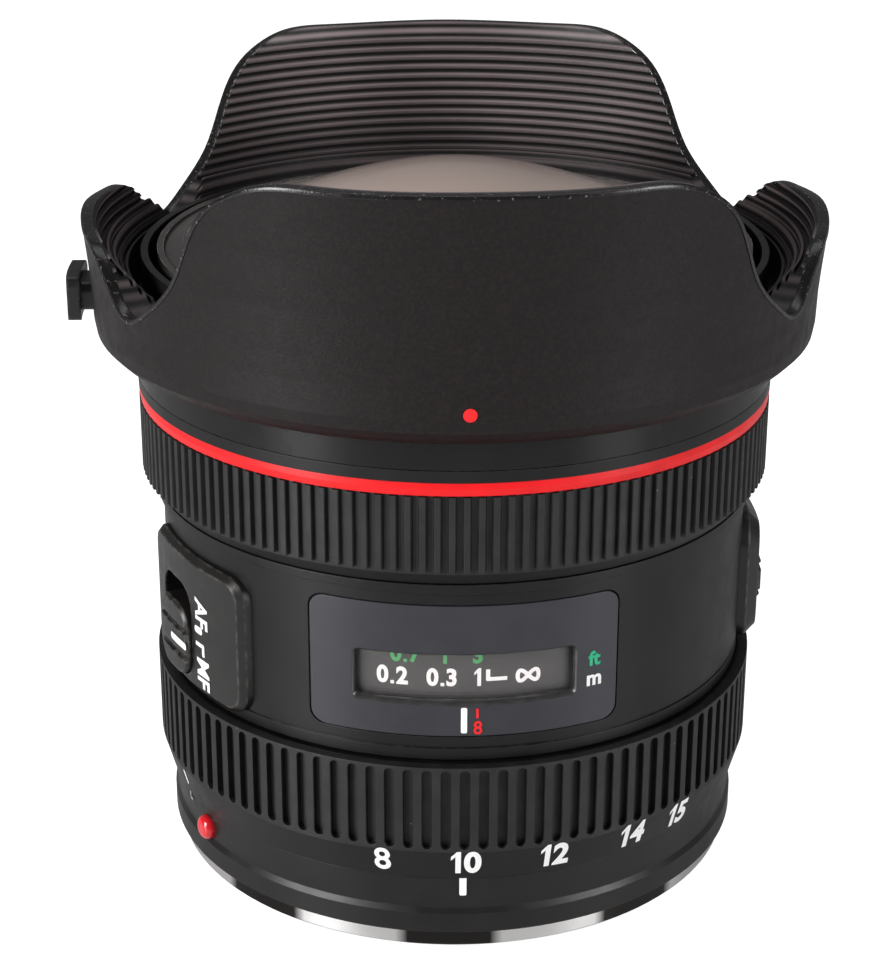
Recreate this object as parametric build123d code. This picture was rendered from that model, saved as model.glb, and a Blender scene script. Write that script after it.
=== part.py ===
from build123d import *
import os
from math import copysign, cos, degrees, pi, radians, sin, sqrt

# Fisheye zoom lens with its petal hood, standing on its camera mount. Millimetres.
# Origin: centre of the mount boss's rear face, which the lens stands on.
# +Z runs along the optical axis to the front glass. -Y is the side with the distance window.
# Azimuths are in degrees from -Y towards +X, so a turn about +Z adds to an azimuth.

# Clearances and overruns
run_gap = 0.06
seat_gap = 0.02
face_gap = 0.15
slot_gap = 0.12
overrun = 2.0

# Lengths along the axis, from the mount to the hood's top
boss_depth = 2.6
flange_thick = 2.0
rear_shell_length = 8.0
zoom_length = 15.35
body_gap = 0.4
body_length = 21.3
trim_gap = 0.1
trim_length = 1.1
focus_length = 11.2
red_length = 1.6
band_length = 1.4
name_length = 3.4
nose_length = 11.5
hood_seat_gap = 0.3
hood_height = 29.3

# Outer radii
body_radius = 36.8
flange_inset = 0.8
rear_proud = 0.1
zoom_proud = 1.5
trim_proud = 0.6
focus_proud = 2.45
name_proud = 0.05
nose_inset = 0.95
flange_radius = body_radius - flange_inset
rear_radius = body_radius + rear_proud
zoom_radius = body_radius + zoom_proud
trim_radius = body_radius + trim_proud
focus_radius = body_radius + focus_proud
name_radius = focus_radius + name_proud
nose_radius = focus_radius - nose_inset

# Walls
body_wall = 1.9
sleeve_inset = 1.3
sleeve_wall = 1.1
focus_sleeve_wall = 0.9
guide_wall = 1.0
cam_wall = 1.0
drum_wall = 0.7

# Heights of the joints between the outer rings
z_flange = boss_depth
z_rear = z_flange + flange_thick
z_rear_top = z_rear + rear_shell_length
z_zoom = z_rear_top + face_gap
z_zoom_top = z_zoom + zoom_length
z_body = z_zoom_top + body_gap
z_body_top = z_body + body_length
z_trim = z_body_top + trim_gap
z_trim_top = z_trim + trim_length
z_focus = z_trim_top + face_gap
z_focus_top = z_focus + focus_length
z_red = z_focus_top + face_gap
z_red_top = z_red + red_length
z_band_top = z_red_top + band_length
z_name = z_band_top + trim_gap
z_name_top = z_name + name_length
z_rim = z_name_top + nose_length
z_hood = z_name_top + hood_seat_gap
z_hood_top = z_hood + hood_height

# Radii of the nested tubes, from the outside in
sleeve_radius = body_radius - sleeve_inset
zoom_bore = sleeve_radius + run_gap
focus_sleeve_radius = body_radius
focus_bore = focus_sleeve_radius + run_gap
body_bore = body_radius - body_wall
drum_gap = 0.4
drum_radius = body_bore - drum_gap
cam_gap = 0.3
cam_radius = drum_radius - drum_wall - cam_gap
cam_bore = cam_radius - cam_wall
guide_radius = cam_bore - 2 * run_gap
guide_bore = guide_radius - guide_wall
cell_radius = guide_bore - run_gap

# Turns and travels
zoom_turn_min = -45.5
zoom_turn_max = 15.4
focus_turn_min = -24.0
focus_turn_max = 60.0
front_lead = 2.82
middle_lead = -3.0
rear_lead = -8.0
focus_lead = 4.4
cam_share = 0.5
pin_radius = 1.2
pin_reach = cam_radius - face_gap

# Azimuths
front_angle = 0.0
back_angle = 180.0
third_turn = 120.0
sixth_turn = 60.0


def turned(*points):
    """A ring or disc from its section, given as (radius, height) points."""
    outline = Polyline(*points, close=True)
    return revolve(Plane.XZ * make_face(outline), Axis.Z)


def tube(bore, radius, low, high):
    """A plain ring between two radii and two heights."""
    return turned((bore, low), (radius, low), (radius, high), (bore, high))


def at(azimuth):
    """Turn a thing made along +X to an azimuth."""
    return Rot(0, 0, azimuth - 90)


def sector(bore, radius, low, high, azimuth, half_angle):
    """Part of a ring, centred on an azimuth."""
    outline = Polyline((bore, low), (radius, low), (radius, high), (bore, high), close=True)
    piece = revolve(Plane.XZ * make_face(outline), Axis.Z, 2 * half_angle)
    return Rot(0, 0, azimuth - 90 - half_angle) * piece


def facing_out(x, y, z):
    """A plane square to +X, whose own axes run along Y and Z."""
    return Plane(origin=(x, y, z), x_dir=(0, 1, 0), z_dir=(1, 0, 0))


def block(near, far, left, right, low, high, corner):
    """A block along +X whose face, seen along X, is a rounded rectangle."""
    face = RectangleRounded(right - left, high - low, corner)
    return extrude(facing_out(near, (left + right) / 2, (low + high) / 2) * face, far - near)


def rod(radius, near, far, height, azimuth):
    """A round pin that lies along a radius."""
    return at(azimuth) * extrude(facing_out(near, 0, height) * Circle(radius), far - near)


def post(radius, low, high, distance, azimuth):
    """A round pin that stands parallel to the axis."""
    return at(azimuth) * Pos(distance, 0, low) * extrude(Circle(radius), high - low)


def thirds(azimuth):
    """Three azimuths, a third of a turn apart."""
    return [azimuth + third_turn * i for i in range(3)]


def fused(shapes):
    """All the shapes as one solid."""
    whole = shapes[0]
    for shape in shapes[1:]:
        whole = whole + shape
    return whole


def group(shapes):
    """Separate solids in one node."""
    return Compound(children=[shape.solids()[0] for shape in shapes])


# Mount ring: flange, boss and three bayonet lugs
boss_radius = 26.9
boss_bore = 24.5
lug_radius = 29.0
lug_low = 0.3
lug_high = 1.5
lug_half_angle = 27.0
flange_chamfer = 0.25
mount_screw_inset = 4.8
mount_screw_circle = flange_radius - mount_screw_inset
mount_screw_radius = 0.8
mount_head_radius = 1.7
mount_head_depth = 1.1
mount_screw_length = 3.6
mount_screw_count = 4
mount_screw_start = 45.0
cross_length = 1.7
cross_width = 0.4
cross_depth = 0.45


def mount_screw_angles():
    return [mount_screw_start + 360 / mount_screw_count * i for i in range(mount_screw_count)]


def make_mount_ring():
    ring = turned(
        (boss_bore, 0), (boss_radius, 0), (boss_radius, z_flange), (flange_radius - flange_chamfer, z_flange),
        (flange_radius, z_flange + flange_chamfer), (flange_radius, z_rear), (boss_bore, z_rear))
    lugs = [sector(boss_radius - seat_gap, lug_radius, lug_low, lug_high, a, lug_half_angle)
            for a in thirds(front_angle)]
    ring = fused([ring] + lugs)
    for a in mount_screw_angles():
        ring = ring - post(mount_screw_radius + seat_gap, z_flange - overrun, z_rear + overrun,
                           mount_screw_circle, a)
        ring = ring - post(mount_head_radius + seat_gap, z_flange - overrun, z_flange + mount_head_depth,
                           mount_screw_circle, a)
    return ring


def make_mount_screws():
    screws = []
    for a in mount_screw_angles():
        head_top = z_flange + mount_head_depth
        head = post(mount_head_radius, z_flange + seat_gap, head_top, mount_screw_circle, a)
        shank = post(mount_screw_radius, z_flange + cross_depth, z_flange + mount_screw_length,
                     mount_screw_circle, a)
        screw = head + shank
        for quarter in (0, 90):
            bar = Box(cross_length, cross_width, 2 * cross_depth)
            screw = screw - at(a) * Pos(mount_screw_circle, 0, z_flange) * Rot(0, 0, quarter) * bar
        screws.append(screw)
    return group(screws)


# What sits inside the mount: contacts, baffle and filter holder
baffle_low = 3.0
baffle_thick = 1.2
opening_width = 26.0
opening_height = 20.0
opening_corner = 2.0
contact_bore = 20.6
contact_low = 0.35
contact_half_angle = 31.0
contact_radius = 0.7
contact_height = 0.25
contact_circle = 22.5
contact_count = 8
contact_step = 7.2
holder_width = 33.0
holder_depth = 26.0
holder_low = 1.3
holder_corner = 1.5
holder_slit = 0.5


def make_rear_baffle():
    plate = Pos(0, 0, baffle_low) * extrude(Circle(boss_bore - seat_gap), baffle_thick)
    window = Pos(0, 0, baffle_low - overrun) * extrude(
        RectangleRounded(opening_width, opening_height, opening_corner), baffle_thick + 2 * overrun)
    return plate - window


def make_gel_filter_holder():
    frame = Pos(0, 0, holder_low) * extrude(
        RectangleRounded(holder_width, holder_depth, holder_corner), baffle_low - holder_low)
    window = Pos(0, 0, holder_low - overrun) * extrude(
        RectangleRounded(opening_width, opening_height, opening_corner), baffle_low + overrun)
    slit_middle = (holder_low + baffle_low) / 2
    slit = Pos(0, holder_depth / 2, slit_middle) * Box(
        opening_width + 2 * holder_corner, holder_depth, holder_slit)
    return frame - window - slit


def make_contact_block():
    return sector(contact_bore, boss_bore - seat_gap, contact_low, baffle_low, back_angle, contact_half_angle)


def make_contact_pins():
    first = back_angle - contact_step * (contact_count - 1) / 2
    pins = [post(contact_radius, contact_low - contact_height, contact_low, contact_circle,
                 first + contact_step * i) for i in range(contact_count)]
    return group(pins)


# Rear barrel: fixed shell, web, and the sleeve inside the zoom ring
rear_foot_inset = 0.7
rear_foot_radius = rear_radius - rear_foot_inset
rear_foot_chamfer = 0.5
rear_step_height = 3.0
rear_step_length = 0.7
rear_waist_inset = 0.4
rear_waist_radius = rear_radius - rear_waist_inset
web_bore = 25.0
web_thick = 2.0
sleeve_lap = 1.2
key_rise = 2.85
key_height = 4.0
key_half_angle = 3.5
key_seat_angle = 0.03
key_inset = 1.9
key_radius = zoom_radius - key_inset
dot_radius = 1.6
dot_height = 0.95
dot_azimuth = -59.0
dot_rise = 5.1
dot_seat = 0.8
guide_screw_inset = 0.5
guide_screw_radius = 0.5
guide_screw_start = 30.0
guide_screw_head = 0.9
guide_screw_head_depth = 0.8
guide_screw_length = 4.0
key_low = z_zoom + key_rise
dot_level = z_rear + dot_rise
guide_screw_circle = cam_radius - guide_screw_inset
z_web = z_rear + web_thick
z_sleeve_top = z_body + sleeve_lap


def screw_solids(gap):
    """The three screws through the web into the guide barrel's foot, with a gap all round."""
    screws = []
    for a in thirds(guide_screw_start):
        head = post(guide_screw_head + gap, z_rear, z_rear + guide_screw_head_depth, guide_screw_circle, a)
        shank = post(guide_screw_radius + gap, z_rear + guide_screw_head_depth / 2,
                     z_rear + guide_screw_length + gap, guide_screw_circle, a)
        screws.append(head + shank)
    return screws


def make_rear_barrel():
    sleeve_bore = sleeve_radius - sleeve_wall
    step_low = z_rear + rear_step_height
    barrel = turned(
        (web_bore, z_rear), (rear_foot_radius, z_rear), (rear_radius, z_rear + rear_foot_chamfer),
        (rear_radius, step_low), (rear_waist_radius, step_low + rear_step_length), (rear_radius, z_rear_top),
        (sleeve_radius, z_rear_top), (sleeve_radius, z_sleeve_top), (sleeve_bore, z_sleeve_top),
        (sleeve_bore, z_web), (web_bore, z_web))
    sweep_half = (zoom_turn_max - zoom_turn_min) / 2 + 2 * key_half_angle
    sweep_middle = back_angle + (zoom_turn_max + zoom_turn_min) / 2
    barrel = barrel - sector(sleeve_bore - overrun, sleeve_radius + overrun, key_low - face_gap,
                             key_low + key_height + face_gap, sweep_middle, sweep_half)
    for a in mount_screw_angles():
        barrel = barrel - post(mount_screw_radius + seat_gap, z_rear - overrun,
                               z_flange + mount_screw_length + seat_gap, mount_screw_circle, a)
    for screw in screw_solids(seat_gap):
        barrel = barrel - screw
    return barrel - rod(dot_radius + seat_gap, rear_waist_radius - dot_seat, rear_radius + overrun,
                        dot_level, dot_azimuth)


def make_mount_index_dot():
    near = rear_waist_radius - dot_seat + seat_gap
    far = rear_radius + dot_height
    pin = rod(dot_radius, near, far, dot_level, dot_azimuth)
    return fillet(pin.edges().sort_by(lambda e: e.center().X ** 2 + e.center().Y ** 2)[-1], dot_height)


def make_guide_screws():
    return group(screw_solids(0))


# Circuit board on the web, inside the guide barrel's foot
board_bore = 19.5
board_thick = 1.0
chip_size = 5.0
chip_height = 1.0
chip_circle = 25.0
chip_angles = (20.0, 75.0, 150.0, 215.0, 290.0)


def make_circuit_board():
    board = tube(board_bore, guide_bore - face_gap, z_web, z_web + board_thick)
    for a in chip_angles:
        chip = extrude(Rectangle(chip_size, chip_size), chip_height + board_thick / 2)
        board = board + at(a) * Pos(chip_circle, 0, z_web + board_thick / 2) * chip
    return board


# Lens groups: heights at rest, above the rest plane
front_pin_drop = 3.6
middle_pin_rise = 8.9
rear_pin_rise = 11.85
focus_pin_rise = 2.15
cam_rise = 0.85
cam_top_drop = 0.2
focus_cam_rise = 0.4
focus_cam_drop = 1.45
z_front_pin = z_body_top - front_pin_drop
z_middle_pin = z_body + middle_pin_rise
z_rear_pin = z_zoom + rear_pin_rise
z_focus_pin = z_focus + focus_pin_rise
z_cam = z_zoom + cam_rise
z_cam_top = z_body_top - cam_top_drop
z_focus_cam = z_body_top + focus_cam_rise
z_focus_cam_top = z_focus_top - focus_cam_drop


def travel(lead, turn_min, turn_max):
    """Lowest and highest slide of a group, from its lead in mm per radian."""
    ends = sorted((lead * radians(turn_min), lead * radians(turn_max)))
    return ends[0], ends[1]


def straight_slot(height, lead, turn_min, turn_max, azimuth):
    """A slot along the axis, in which a group's pin slides."""
    low, high = travel(lead, turn_min, turn_max)
    half = pin_radius + slot_gap
    middle = height + (low + high) / 2
    length = high - low + 2 * half
    face = facing_out(guide_bore - overrun, 0, middle) * Rot(0, 0, 90) * SlotOverall(length, 2 * half)
    return at(azimuth) * extrude(face, guide_wall + 2 * overrun)


def cam_slot(height, lead, turn_min, turn_max, azimuth):
    """A helical slot through a cam tube, which drives a group's pin."""
    half = pin_radius + slot_gap
    middle_radius = (cam_radius + cam_bore) / 2
    extra = degrees(half / cam_bore)
    first = turn_min - extra
    last = turn_max + extra
    rise = abs(lead) * radians(last - first)
    helix = Helix(pitch=2 * pi * abs(lead), height=rise, radius=middle_radius, lefthand=lead > 0)
    across = Plane(origin=helix @ 0, x_dir=(1, 0, 0), z_dir=helix % 0)
    bar = sweep(across * Rectangle(cam_wall + 2 * overrun, 2 * half), path=helix, is_frenet=True)
    lowest_turn = first if lead > 0 else last
    low = height + lead * radians(lowest_turn)
    return Rot(0, 0, azimuth - 90 - lowest_turn) * Pos(0, 0, low) * bar


def make_guide_barrel():
    foot_radius = cam_radius - face_gap
    screw_foot = guide_screw_circle + guide_screw_radius + seat_gap
    barrel = turned(
        (guide_bore, z_web), (screw_foot + seat_gap, z_web), (screw_foot + seat_gap, z_web + board_thick),
        (foot_radius, z_web + board_thick), (foot_radius, z_cam - face_gap),
        (guide_radius, z_cam - face_gap), (guide_radius, z_ledge_top - face_gap),
        (guide_bore, z_ledge_top - face_gap))
    for a in thirds(front_angle):
        barrel = barrel - straight_slot(z_front_pin, front_lead, zoom_turn_min, zoom_turn_max, a)
        barrel = barrel - straight_slot(z_middle_pin, middle_lead, zoom_turn_min, zoom_turn_max, a)
        barrel = barrel - straight_slot(z_rear_pin, rear_lead, zoom_turn_min, zoom_turn_max, a)
        barrel = barrel - straight_slot(z_focus_pin, focus_lead * cam_share, focus_turn_min, focus_turn_max,
                                        a + sixth_turn)
    for screw in screw_solids(seat_gap):
        barrel = barrel - screw
    return barrel


def make_zoom_cam_barrel():
    barrel = tube(cam_bore, cam_radius, z_cam, z_cam_top)
    for a in thirds(front_angle):
        barrel = barrel - cam_slot(z_front_pin, front_lead, zoom_turn_min, zoom_turn_max, a)
        barrel = barrel - cam_slot(z_middle_pin, middle_lead, zoom_turn_min, zoom_turn_max, a)
        barrel = barrel - cam_slot(z_rear_pin, rear_lead, zoom_turn_min, zoom_turn_max, a)
    return barrel


def make_focus_cam_ring():
    ring = tube(cam_bore, cam_radius, z_focus_cam, z_focus_cam_top)
    for a in thirds(sixth_turn):
        ring = ring - cam_slot(z_focus_pin, focus_lead, focus_turn_min * cam_share,
                               focus_turn_max * cam_share, a)
    return ring


# Zoom ring, its rubber grip and its key
zoom_band_length = 4.1
zoom_band_inset = 1.15
zoom_band_radius = zoom_radius - zoom_band_inset
zoom_grip_wall = 1.1
zoom_seat_radius = zoom_radius - zoom_grip_wall
zoom_slot_count = 108
zoom_slot_share = 0.56
zoom_slot_depth = 0.85
zoom_slot_low = 0.4
zoom_slot_high = 0.35


def make_zoom_ring():
    z_seat = z_zoom + zoom_band_length
    ring = turned(
        (zoom_bore, z_zoom), (zoom_band_radius, z_zoom), (zoom_radius - seat_gap, z_seat),
        (zoom_seat_radius, z_seat), (zoom_seat_radius, z_zoom_top), (zoom_bore, z_zoom_top))
    return ring - sector(zoom_bore - overrun, key_radius + seat_gap, key_low - seat_gap,
                         key_low + key_height + seat_gap, back_angle, key_half_angle + key_seat_angle)


def make_zoom_grip():
    z_seat = z_zoom + zoom_band_length + seat_gap
    grip = tube(zoom_seat_radius + seat_gap, zoom_radius, z_seat, z_zoom_top)
    slot_low = z_seat + zoom_slot_low
    slot_high = z_zoom_top - zoom_slot_high
    width = 2 * pi * zoom_radius / zoom_slot_count * zoom_slot_share
    middle = facing_out(zoom_radius - zoom_slot_depth, 0, (slot_low + slot_high) / 2)
    face = middle * Rot(0, 0, 90) * SlotOverall(slot_high - slot_low, width)
    cutter = extrude(face, zoom_slot_depth + overrun)
    step = 360 / zoom_slot_count
    return grip - [Rot(0, 0, step * i) * cutter for i in range(zoom_slot_count)]


def make_zoom_key():
    return sector(cam_radius + seat_gap, key_radius, key_low, key_low + key_height, back_angle,
                  key_half_angle)


# Focus ring, its rubber grip, the distance drum and the ring motor
flare_inset = 1.95
flare_radius = focus_radius - flare_inset
flare_length = 1.65
flare_top_inset = 0.85
flare_top_radius = focus_radius - flare_top_inset
focus_grip_wall = 1.3
focus_seat_radius = focus_radius - focus_grip_wall
focus_rib_count = 148
focus_foot_share = 0.32
focus_crest_share = 0.2
focus_rib_depth = 0.6
focus_rib_low = 0.45
drum_rise = 4.1
drum_low = z_body + drum_rise
drum_lip = 0.9
rotor_length = 2.9
stator_length = 4.1
motor_gap = 0.05


def make_focus_ring():
    z_seat = z_focus + flare_length
    return turned(
        (focus_bore, z_focus), (flare_radius, z_focus), (flare_top_radius, z_seat),
        (focus_seat_radius, z_seat), (focus_seat_radius, z_focus_top), (focus_bore, z_focus_top))


def make_focus_grip():
    low = z_focus + flare_length + seat_gap
    rib_low = low + focus_rib_low
    valley = focus_radius - focus_rib_depth
    step = 360 / focus_rib_count
    corners = []
    for i in range(focus_rib_count):
        for radius, share in ((valley, -focus_foot_share), (focus_radius, -focus_crest_share),
                              (focus_radius, focus_crest_share), (valley, focus_foot_share)):
            angle = radians(step * (i + share))
            corners.append((radius * cos(angle), radius * sin(angle)))
    ribs = Pos(0, 0, rib_low) * extrude(make_face(Polyline(*corners, close=True)), z_focus_top - rib_low)
    base = Pos(0, 0, low) * extrude(Circle(valley), z_focus_top - low)
    bore = Pos(0, 0, low - overrun) * extrude(Circle(focus_seat_radius + seat_gap), focus_length + overrun)
    return ribs + base - bore


def make_scale_drum():
    bore = drum_radius - drum_wall
    lip_bore = cam_radius + seat_gap
    top = z_focus_cam + drum_lip
    return turned(
        (bore, drum_low), (drum_radius, drum_low), (drum_radius, top), (lip_bore, top),
        (lip_bore, z_focus_cam), (bore, z_focus_cam))


def motor_ring(low, high):
    bore = cam_radius + cam_gap / 2 + run_gap
    return tube(bore, focus_sleeve_radius - focus_sleeve_wall - run_gap, low, high)


def make_motor_stator():
    return motor_ring(z_ledge - stator_length, z_ledge)


def make_motor_rotor():
    top = z_ledge - stator_length - motor_gap
    return motor_ring(top - rotor_length, top)


# Front barrel: fixed shell, sleeve inside the focus ring, ledge and hood bayonet
ledge_thick = 1.7
ledge_drop = 1.3
z_ledge = z_red - ledge_drop
z_ledge_top = z_ledge + ledge_thick
red_wall = 0.85
trim_seat_radius = focus_radius - red_wall
land_length = 10.2
land_top = z_ledge_top + land_length
nose_wall = 0.9
front_cell_inset = 2.0
front_cell_radius = nose_radius - front_cell_inset
hood_lug_half_angle = 10.0
barrel_lug_half_angle = 11.0
barrel_lug_reach = 1.3
barrel_lug_radius = nose_radius + barrel_lug_reach
barrel_lug_rise = 3.6
barrel_lug_low = z_name_top + barrel_lug_rise
barrel_lug_height = 1.8
stop_half_angle = 1.0
stop_height = 2.0
red_crown = 0.12


def make_front_barrel():
    bore = focus_sleeve_radius - focus_sleeve_wall
    land = front_cell_radius + run_gap
    nose_bore = nose_radius - nose_wall
    ledge_bore = guide_radius + 2 * seat_gap
    barrel = turned(
        (bore, z_body_top), (focus_sleeve_radius, z_body_top), (focus_sleeve_radius, z_red),
        (trim_seat_radius, z_red), (trim_seat_radius, z_red_top), (name_radius - seat_gap, z_red_top),
        (name_radius - seat_gap, z_band_top), (nose_radius, z_band_top), (nose_radius, z_rim),
        (nose_bore, z_rim), (nose_bore, land_top), (land, land_top), (land, z_ledge_top),
        (ledge_bore, z_ledge_top), (ledge_bore, z_ledge), (bore, z_ledge))
    lug_root = nose_radius - nose_wall / 2
    for a in thirds(front_angle):
        barrel = barrel + sector(lug_root, barrel_lug_radius, barrel_lug_low,
                                 barrel_lug_low + barrel_lug_height, a, barrel_lug_half_angle)
        stop_azimuth = a - barrel_lug_half_angle - stop_half_angle
        barrel = barrel + sector(lug_root, barrel_lug_radius, barrel_lug_low - stop_height,
                                 barrel_lug_low + barrel_lug_height, stop_azimuth, stop_half_angle)
    return barrel


def make_red_ring():
    middle = (z_red + z_red_top) / 2
    return turned(
        (trim_seat_radius + seat_gap, z_red), (focus_radius - red_crown, z_red), (focus_radius, middle),
        (focus_radius - red_crown, z_red_top), (trim_seat_radius + seat_gap, z_red_top))


def make_name_ring():
    return tube(nose_radius + seat_gap, name_radius, z_name, z_name_top)


def make_trim_ring():
    return tube(focus_sleeve_radius + seat_gap, trim_radius, z_trim, z_trim_top)


# Body barrel, window and switch blocks
panel_half_angle = 29.0
panel_start = 3.1
panel_end = 19.6
panel_corner = 1.8
panel_proud = 0.05
window_half_angle = 20.8
window_start = 7.0
window_end = 13.6
window_corner = 0.9
glass_lap = 0.9
body_line_height = 1.4
body_line_width = 0.25
body_line_depth = 0.2
af_azimuth = -63.0
af_proud = 1.1
af_crown = 45.0
af_left = -10.5
af_right = 13.0
af_start = 0.9
af_end = 18.6
af_corner = 3.0
af_edge = 0.7
limit_azimuth = 93.0
limit_proud = 2.0
limit_crown = 60.0
limit_left = -10.0
limit_right = 10.0
limit_start = 0.4
limit_end = 17.4
limit_corner = 4.0
limit_edge = 1.4
pocket_depth = 1.2
af_slot_left = -6.3
af_slot_right = 2.6
af_slot_start = 1.9
af_slot_end = 14.3
af_slot_corner = 3.0
limit_slot_left = -6.0
limit_slot_right = 0.5
limit_slot_start = 4.6
limit_slot_end = 13.1
limit_slot_corner = 1.5
slider_gap = 0.15
slider_travel = 2.7
slider_rise = 0.75
slider_bevel = 0.35
slider_plate = 0.35
slider_lap = 0.9
slider_groove = 0.9
slider_groove_depth = 0.35
panel_gap = 0.15
panel_low = z_body + panel_start
panel_high = z_body + panel_end
window_low = z_body + window_start
window_high = z_body + window_end
af_face = body_radius + af_proud
limit_face = body_radius + limit_proud
af_outline = (af_left, af_right, z_body + af_start, z_body + af_end, af_corner)
limit_outline = (limit_left, limit_right, z_body + limit_start, z_body + limit_end, limit_corner)
af_slot = (af_slot_left, af_slot_right, z_body + af_slot_start, z_body + af_slot_end, af_slot_corner)
limit_slot = (limit_slot_left, limit_slot_right, z_body + limit_slot_start, z_body + limit_slot_end,
              limit_slot_corner)


def chord(radius, half_angle):
    return radius * sin(radians(half_angle))


def pocket_floor():
    return body_radius - pocket_depth


def wider(slot, lap):
    """A slot's outline, wider by a lap all round."""
    left, right, low, high, corner = slot
    return left - lap, right + lap, low - lap, high + lap, corner


def panel_block(gap):
    half = chord(body_radius, panel_half_angle)
    outline = (-half, half, panel_low, panel_high, panel_corner)
    return block(0, body_radius + overrun, *wider(outline, gap))


def window_block(lap):
    half = chord(body_radius, window_half_angle)
    outline = (-half, half, window_low, window_high, window_corner)
    return block(0, body_radius + overrun, *wider(outline, lap))


def make_body_barrel():
    line = z_body + body_line_height
    barrel = turned(
        (sleeve_radius + seat_gap, z_body), (body_radius, z_body), (body_radius, line),
        (body_radius - body_line_depth, line), (body_radius - body_line_depth, line + body_line_width),
        (body_radius, line + body_line_width), (body_radius, z_body_top), (body_bore, z_body_top),
        (body_bore, z_sleeve_top + seat_gap), (sleeve_radius + seat_gap, z_sleeve_top + seat_gap))
    shell = Pos(0, 0, z_body - overrun) * extrude(
        Circle(body_radius + overrun) - Circle(pocket_floor()), body_length + 2 * overrun)
    af_pad = block(0, af_face, *wider(af_outline, seat_gap))
    limit_pad = block(0, limit_face, *wider(limit_outline, seat_gap))
    pads = ((front_angle, panel_block(panel_gap)), (af_azimuth, af_pad), (limit_azimuth, limit_pad))
    for azimuth, pad in pads:
        barrel = barrel - (shell & (at(azimuth) * pad))
    barrel = barrel - at(front_angle) * window_block(glass_lap + seat_gap)
    barrel = barrel - at(af_azimuth) * block(0, af_face, *wider(af_slot, slider_lap))
    return barrel - at(limit_azimuth) * block(0, limit_face, *wider(limit_slot, slider_lap))


def make_window_panel():
    ring = tube(pocket_floor() + seat_gap, body_radius + panel_proud, panel_low - overrun,
                panel_high + overrun)
    panel = ring & (at(front_angle) * panel_block(0))
    return panel - at(front_angle) * window_block(0)


def make_window_glass():
    ring = tube(body_bore + seat_gap, pocket_floor() - seat_gap, window_low - glass_lap - overrun,
                window_high + glass_lap + overrun)
    return ring & (at(front_angle) * window_block(glass_lap))


def cylinder(radius, low, high):
    return Pos(0, 0, low - overrun) * extrude(Circle(radius), high - low + 2 * overrun)


def crowned(face, crown, low, high):
    """A large round bar whose side bulges out to a face's distance."""
    return Pos(face - crown, 0, 0) * cylinder(crown, low, high)


def switch_block(azimuth, face, crown, outline, slot, edge):
    """A switch block with a gently rounded face, seated in the body's pocket, with its slot."""
    left, right, low, high, corner = outline
    pad = block(body_bore - overrun, face + overrun, *outline) & crowned(face, crown, low, high)
    outer = pad.faces().sort_by(Axis.X)[-1]
    pad = chamfer(outer.edges(), edge)
    pad = pad - cylinder(pocket_floor() + seat_gap, low, high)
    return at(azimuth) * (pad - block(0, face + overrun, *slot))


def make_af_switch_block():
    return switch_block(af_azimuth, af_face, af_crown, af_outline, af_slot, af_edge)


def make_limit_switch_block():
    return switch_block(limit_azimuth, limit_face, limit_crown, limit_outline, limit_slot, limit_edge)


def slider(azimuth, face, crown, slot):
    """A slider at the low end of its slot, with grooves across its face and a plate behind it."""
    left, right, low, high, corner = slot
    foot = low + slider_gap
    top = high - slider_travel - slider_gap
    plate_out = pocket_floor() - slider_gap
    plate_in = plate_out - slider_plate
    knob = block(0, face + overrun, left + slider_gap, right - slider_gap, foot, top, corner - slider_gap)
    knob = knob & crowned(face + slider_rise, crown, foot, top)
    outer = knob.faces().sort_by(Axis.X)[-1]
    knob = chamfer(outer.edges(), slider_bevel) - cylinder((plate_in + plate_out) / 2, foot, top)
    middle = (foot + top) / 2
    for i in (-1, 1):
        groove = Pos(face, (left + right) / 2, middle + i * 2 * slider_groove) * Box(
            2 * overrun, right - left, slider_groove)
        knob = knob - (groove - crowned(face + slider_rise - slider_groove_depth, crown, foot, top))
    lap = slider_lap - slider_gap
    plate = tube(plate_in, plate_out, foot - overrun, top + overrun) & block(
        0, face, left - lap, right + lap, foot, top, corner - slider_gap)
    return at(azimuth) * (knob + plate)


def make_af_switch_slider():
    return slider(af_azimuth, af_face, af_crown, af_slot)


def make_limit_switch_slider():
    return slider(limit_azimuth, limit_face, limit_crown, limit_slot)


# Glass
def sag(radius, distance):
    """How far a spherical surface has dropped at a distance from the axis."""
    return copysign(abs(radius) - sqrt(radius ** 2 - distance ** 2), radius)


def surface(apex, radius, rim):
    """The section of a spherical surface, from the axis out to its rim."""
    middle = rim / 2
    return ThreePointArc((0, apex), (middle, apex - sag(radius, middle)), (rim, apex - sag(radius, rim)))


def glass(front_apex, front_curve, front_rim, back_apex, back_curve, back_rim, edge):
    """A lens element from its two surfaces. A positive curve rises towards the front glass."""
    front = surface(front_apex, front_curve, front_rim)
    back = surface(back_apex, back_curve, back_rim)
    front_z = front_apex - sag(front_curve, front_rim)
    back_z = back_apex - sag(back_curve, back_rim)
    corners = [(front_rim, front_z)]
    if edge > front_rim:
        corners.append((edge, front_z))
    corners.append((edge, back_z))
    if edge > back_rim:
        corners.append((back_rim, back_z))
    side = Polyline(*corners)
    axis = Line((0, back_apex), (0, front_apex))
    return revolve(Plane.XZ * make_face([front, side, back, axis]), Axis.Z)


front_edge = 32.7
dome_height = 9.5
dome_sag = 8.53
dome_edge_slope = -0.23
dome_edge_depth = 3.0
dome_thick = 4.0
dome_back_curve = 24.5
dome_back_rim = 21.0
dome_foot_radius = 24.0
dome_neck_radius = 27.0
second_drop = 10.4
second_thick = 2.5
second_edge = 19.0
second_curve = 30.0
second_back_curve = 15.0
second_back_rim = 13.5
third_drop = 11.4
third_thick = 1.5
third_edge = 13.5
third_curve = -60.0
third_back_curve = 25.0
third_back_rim = 12.5
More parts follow.
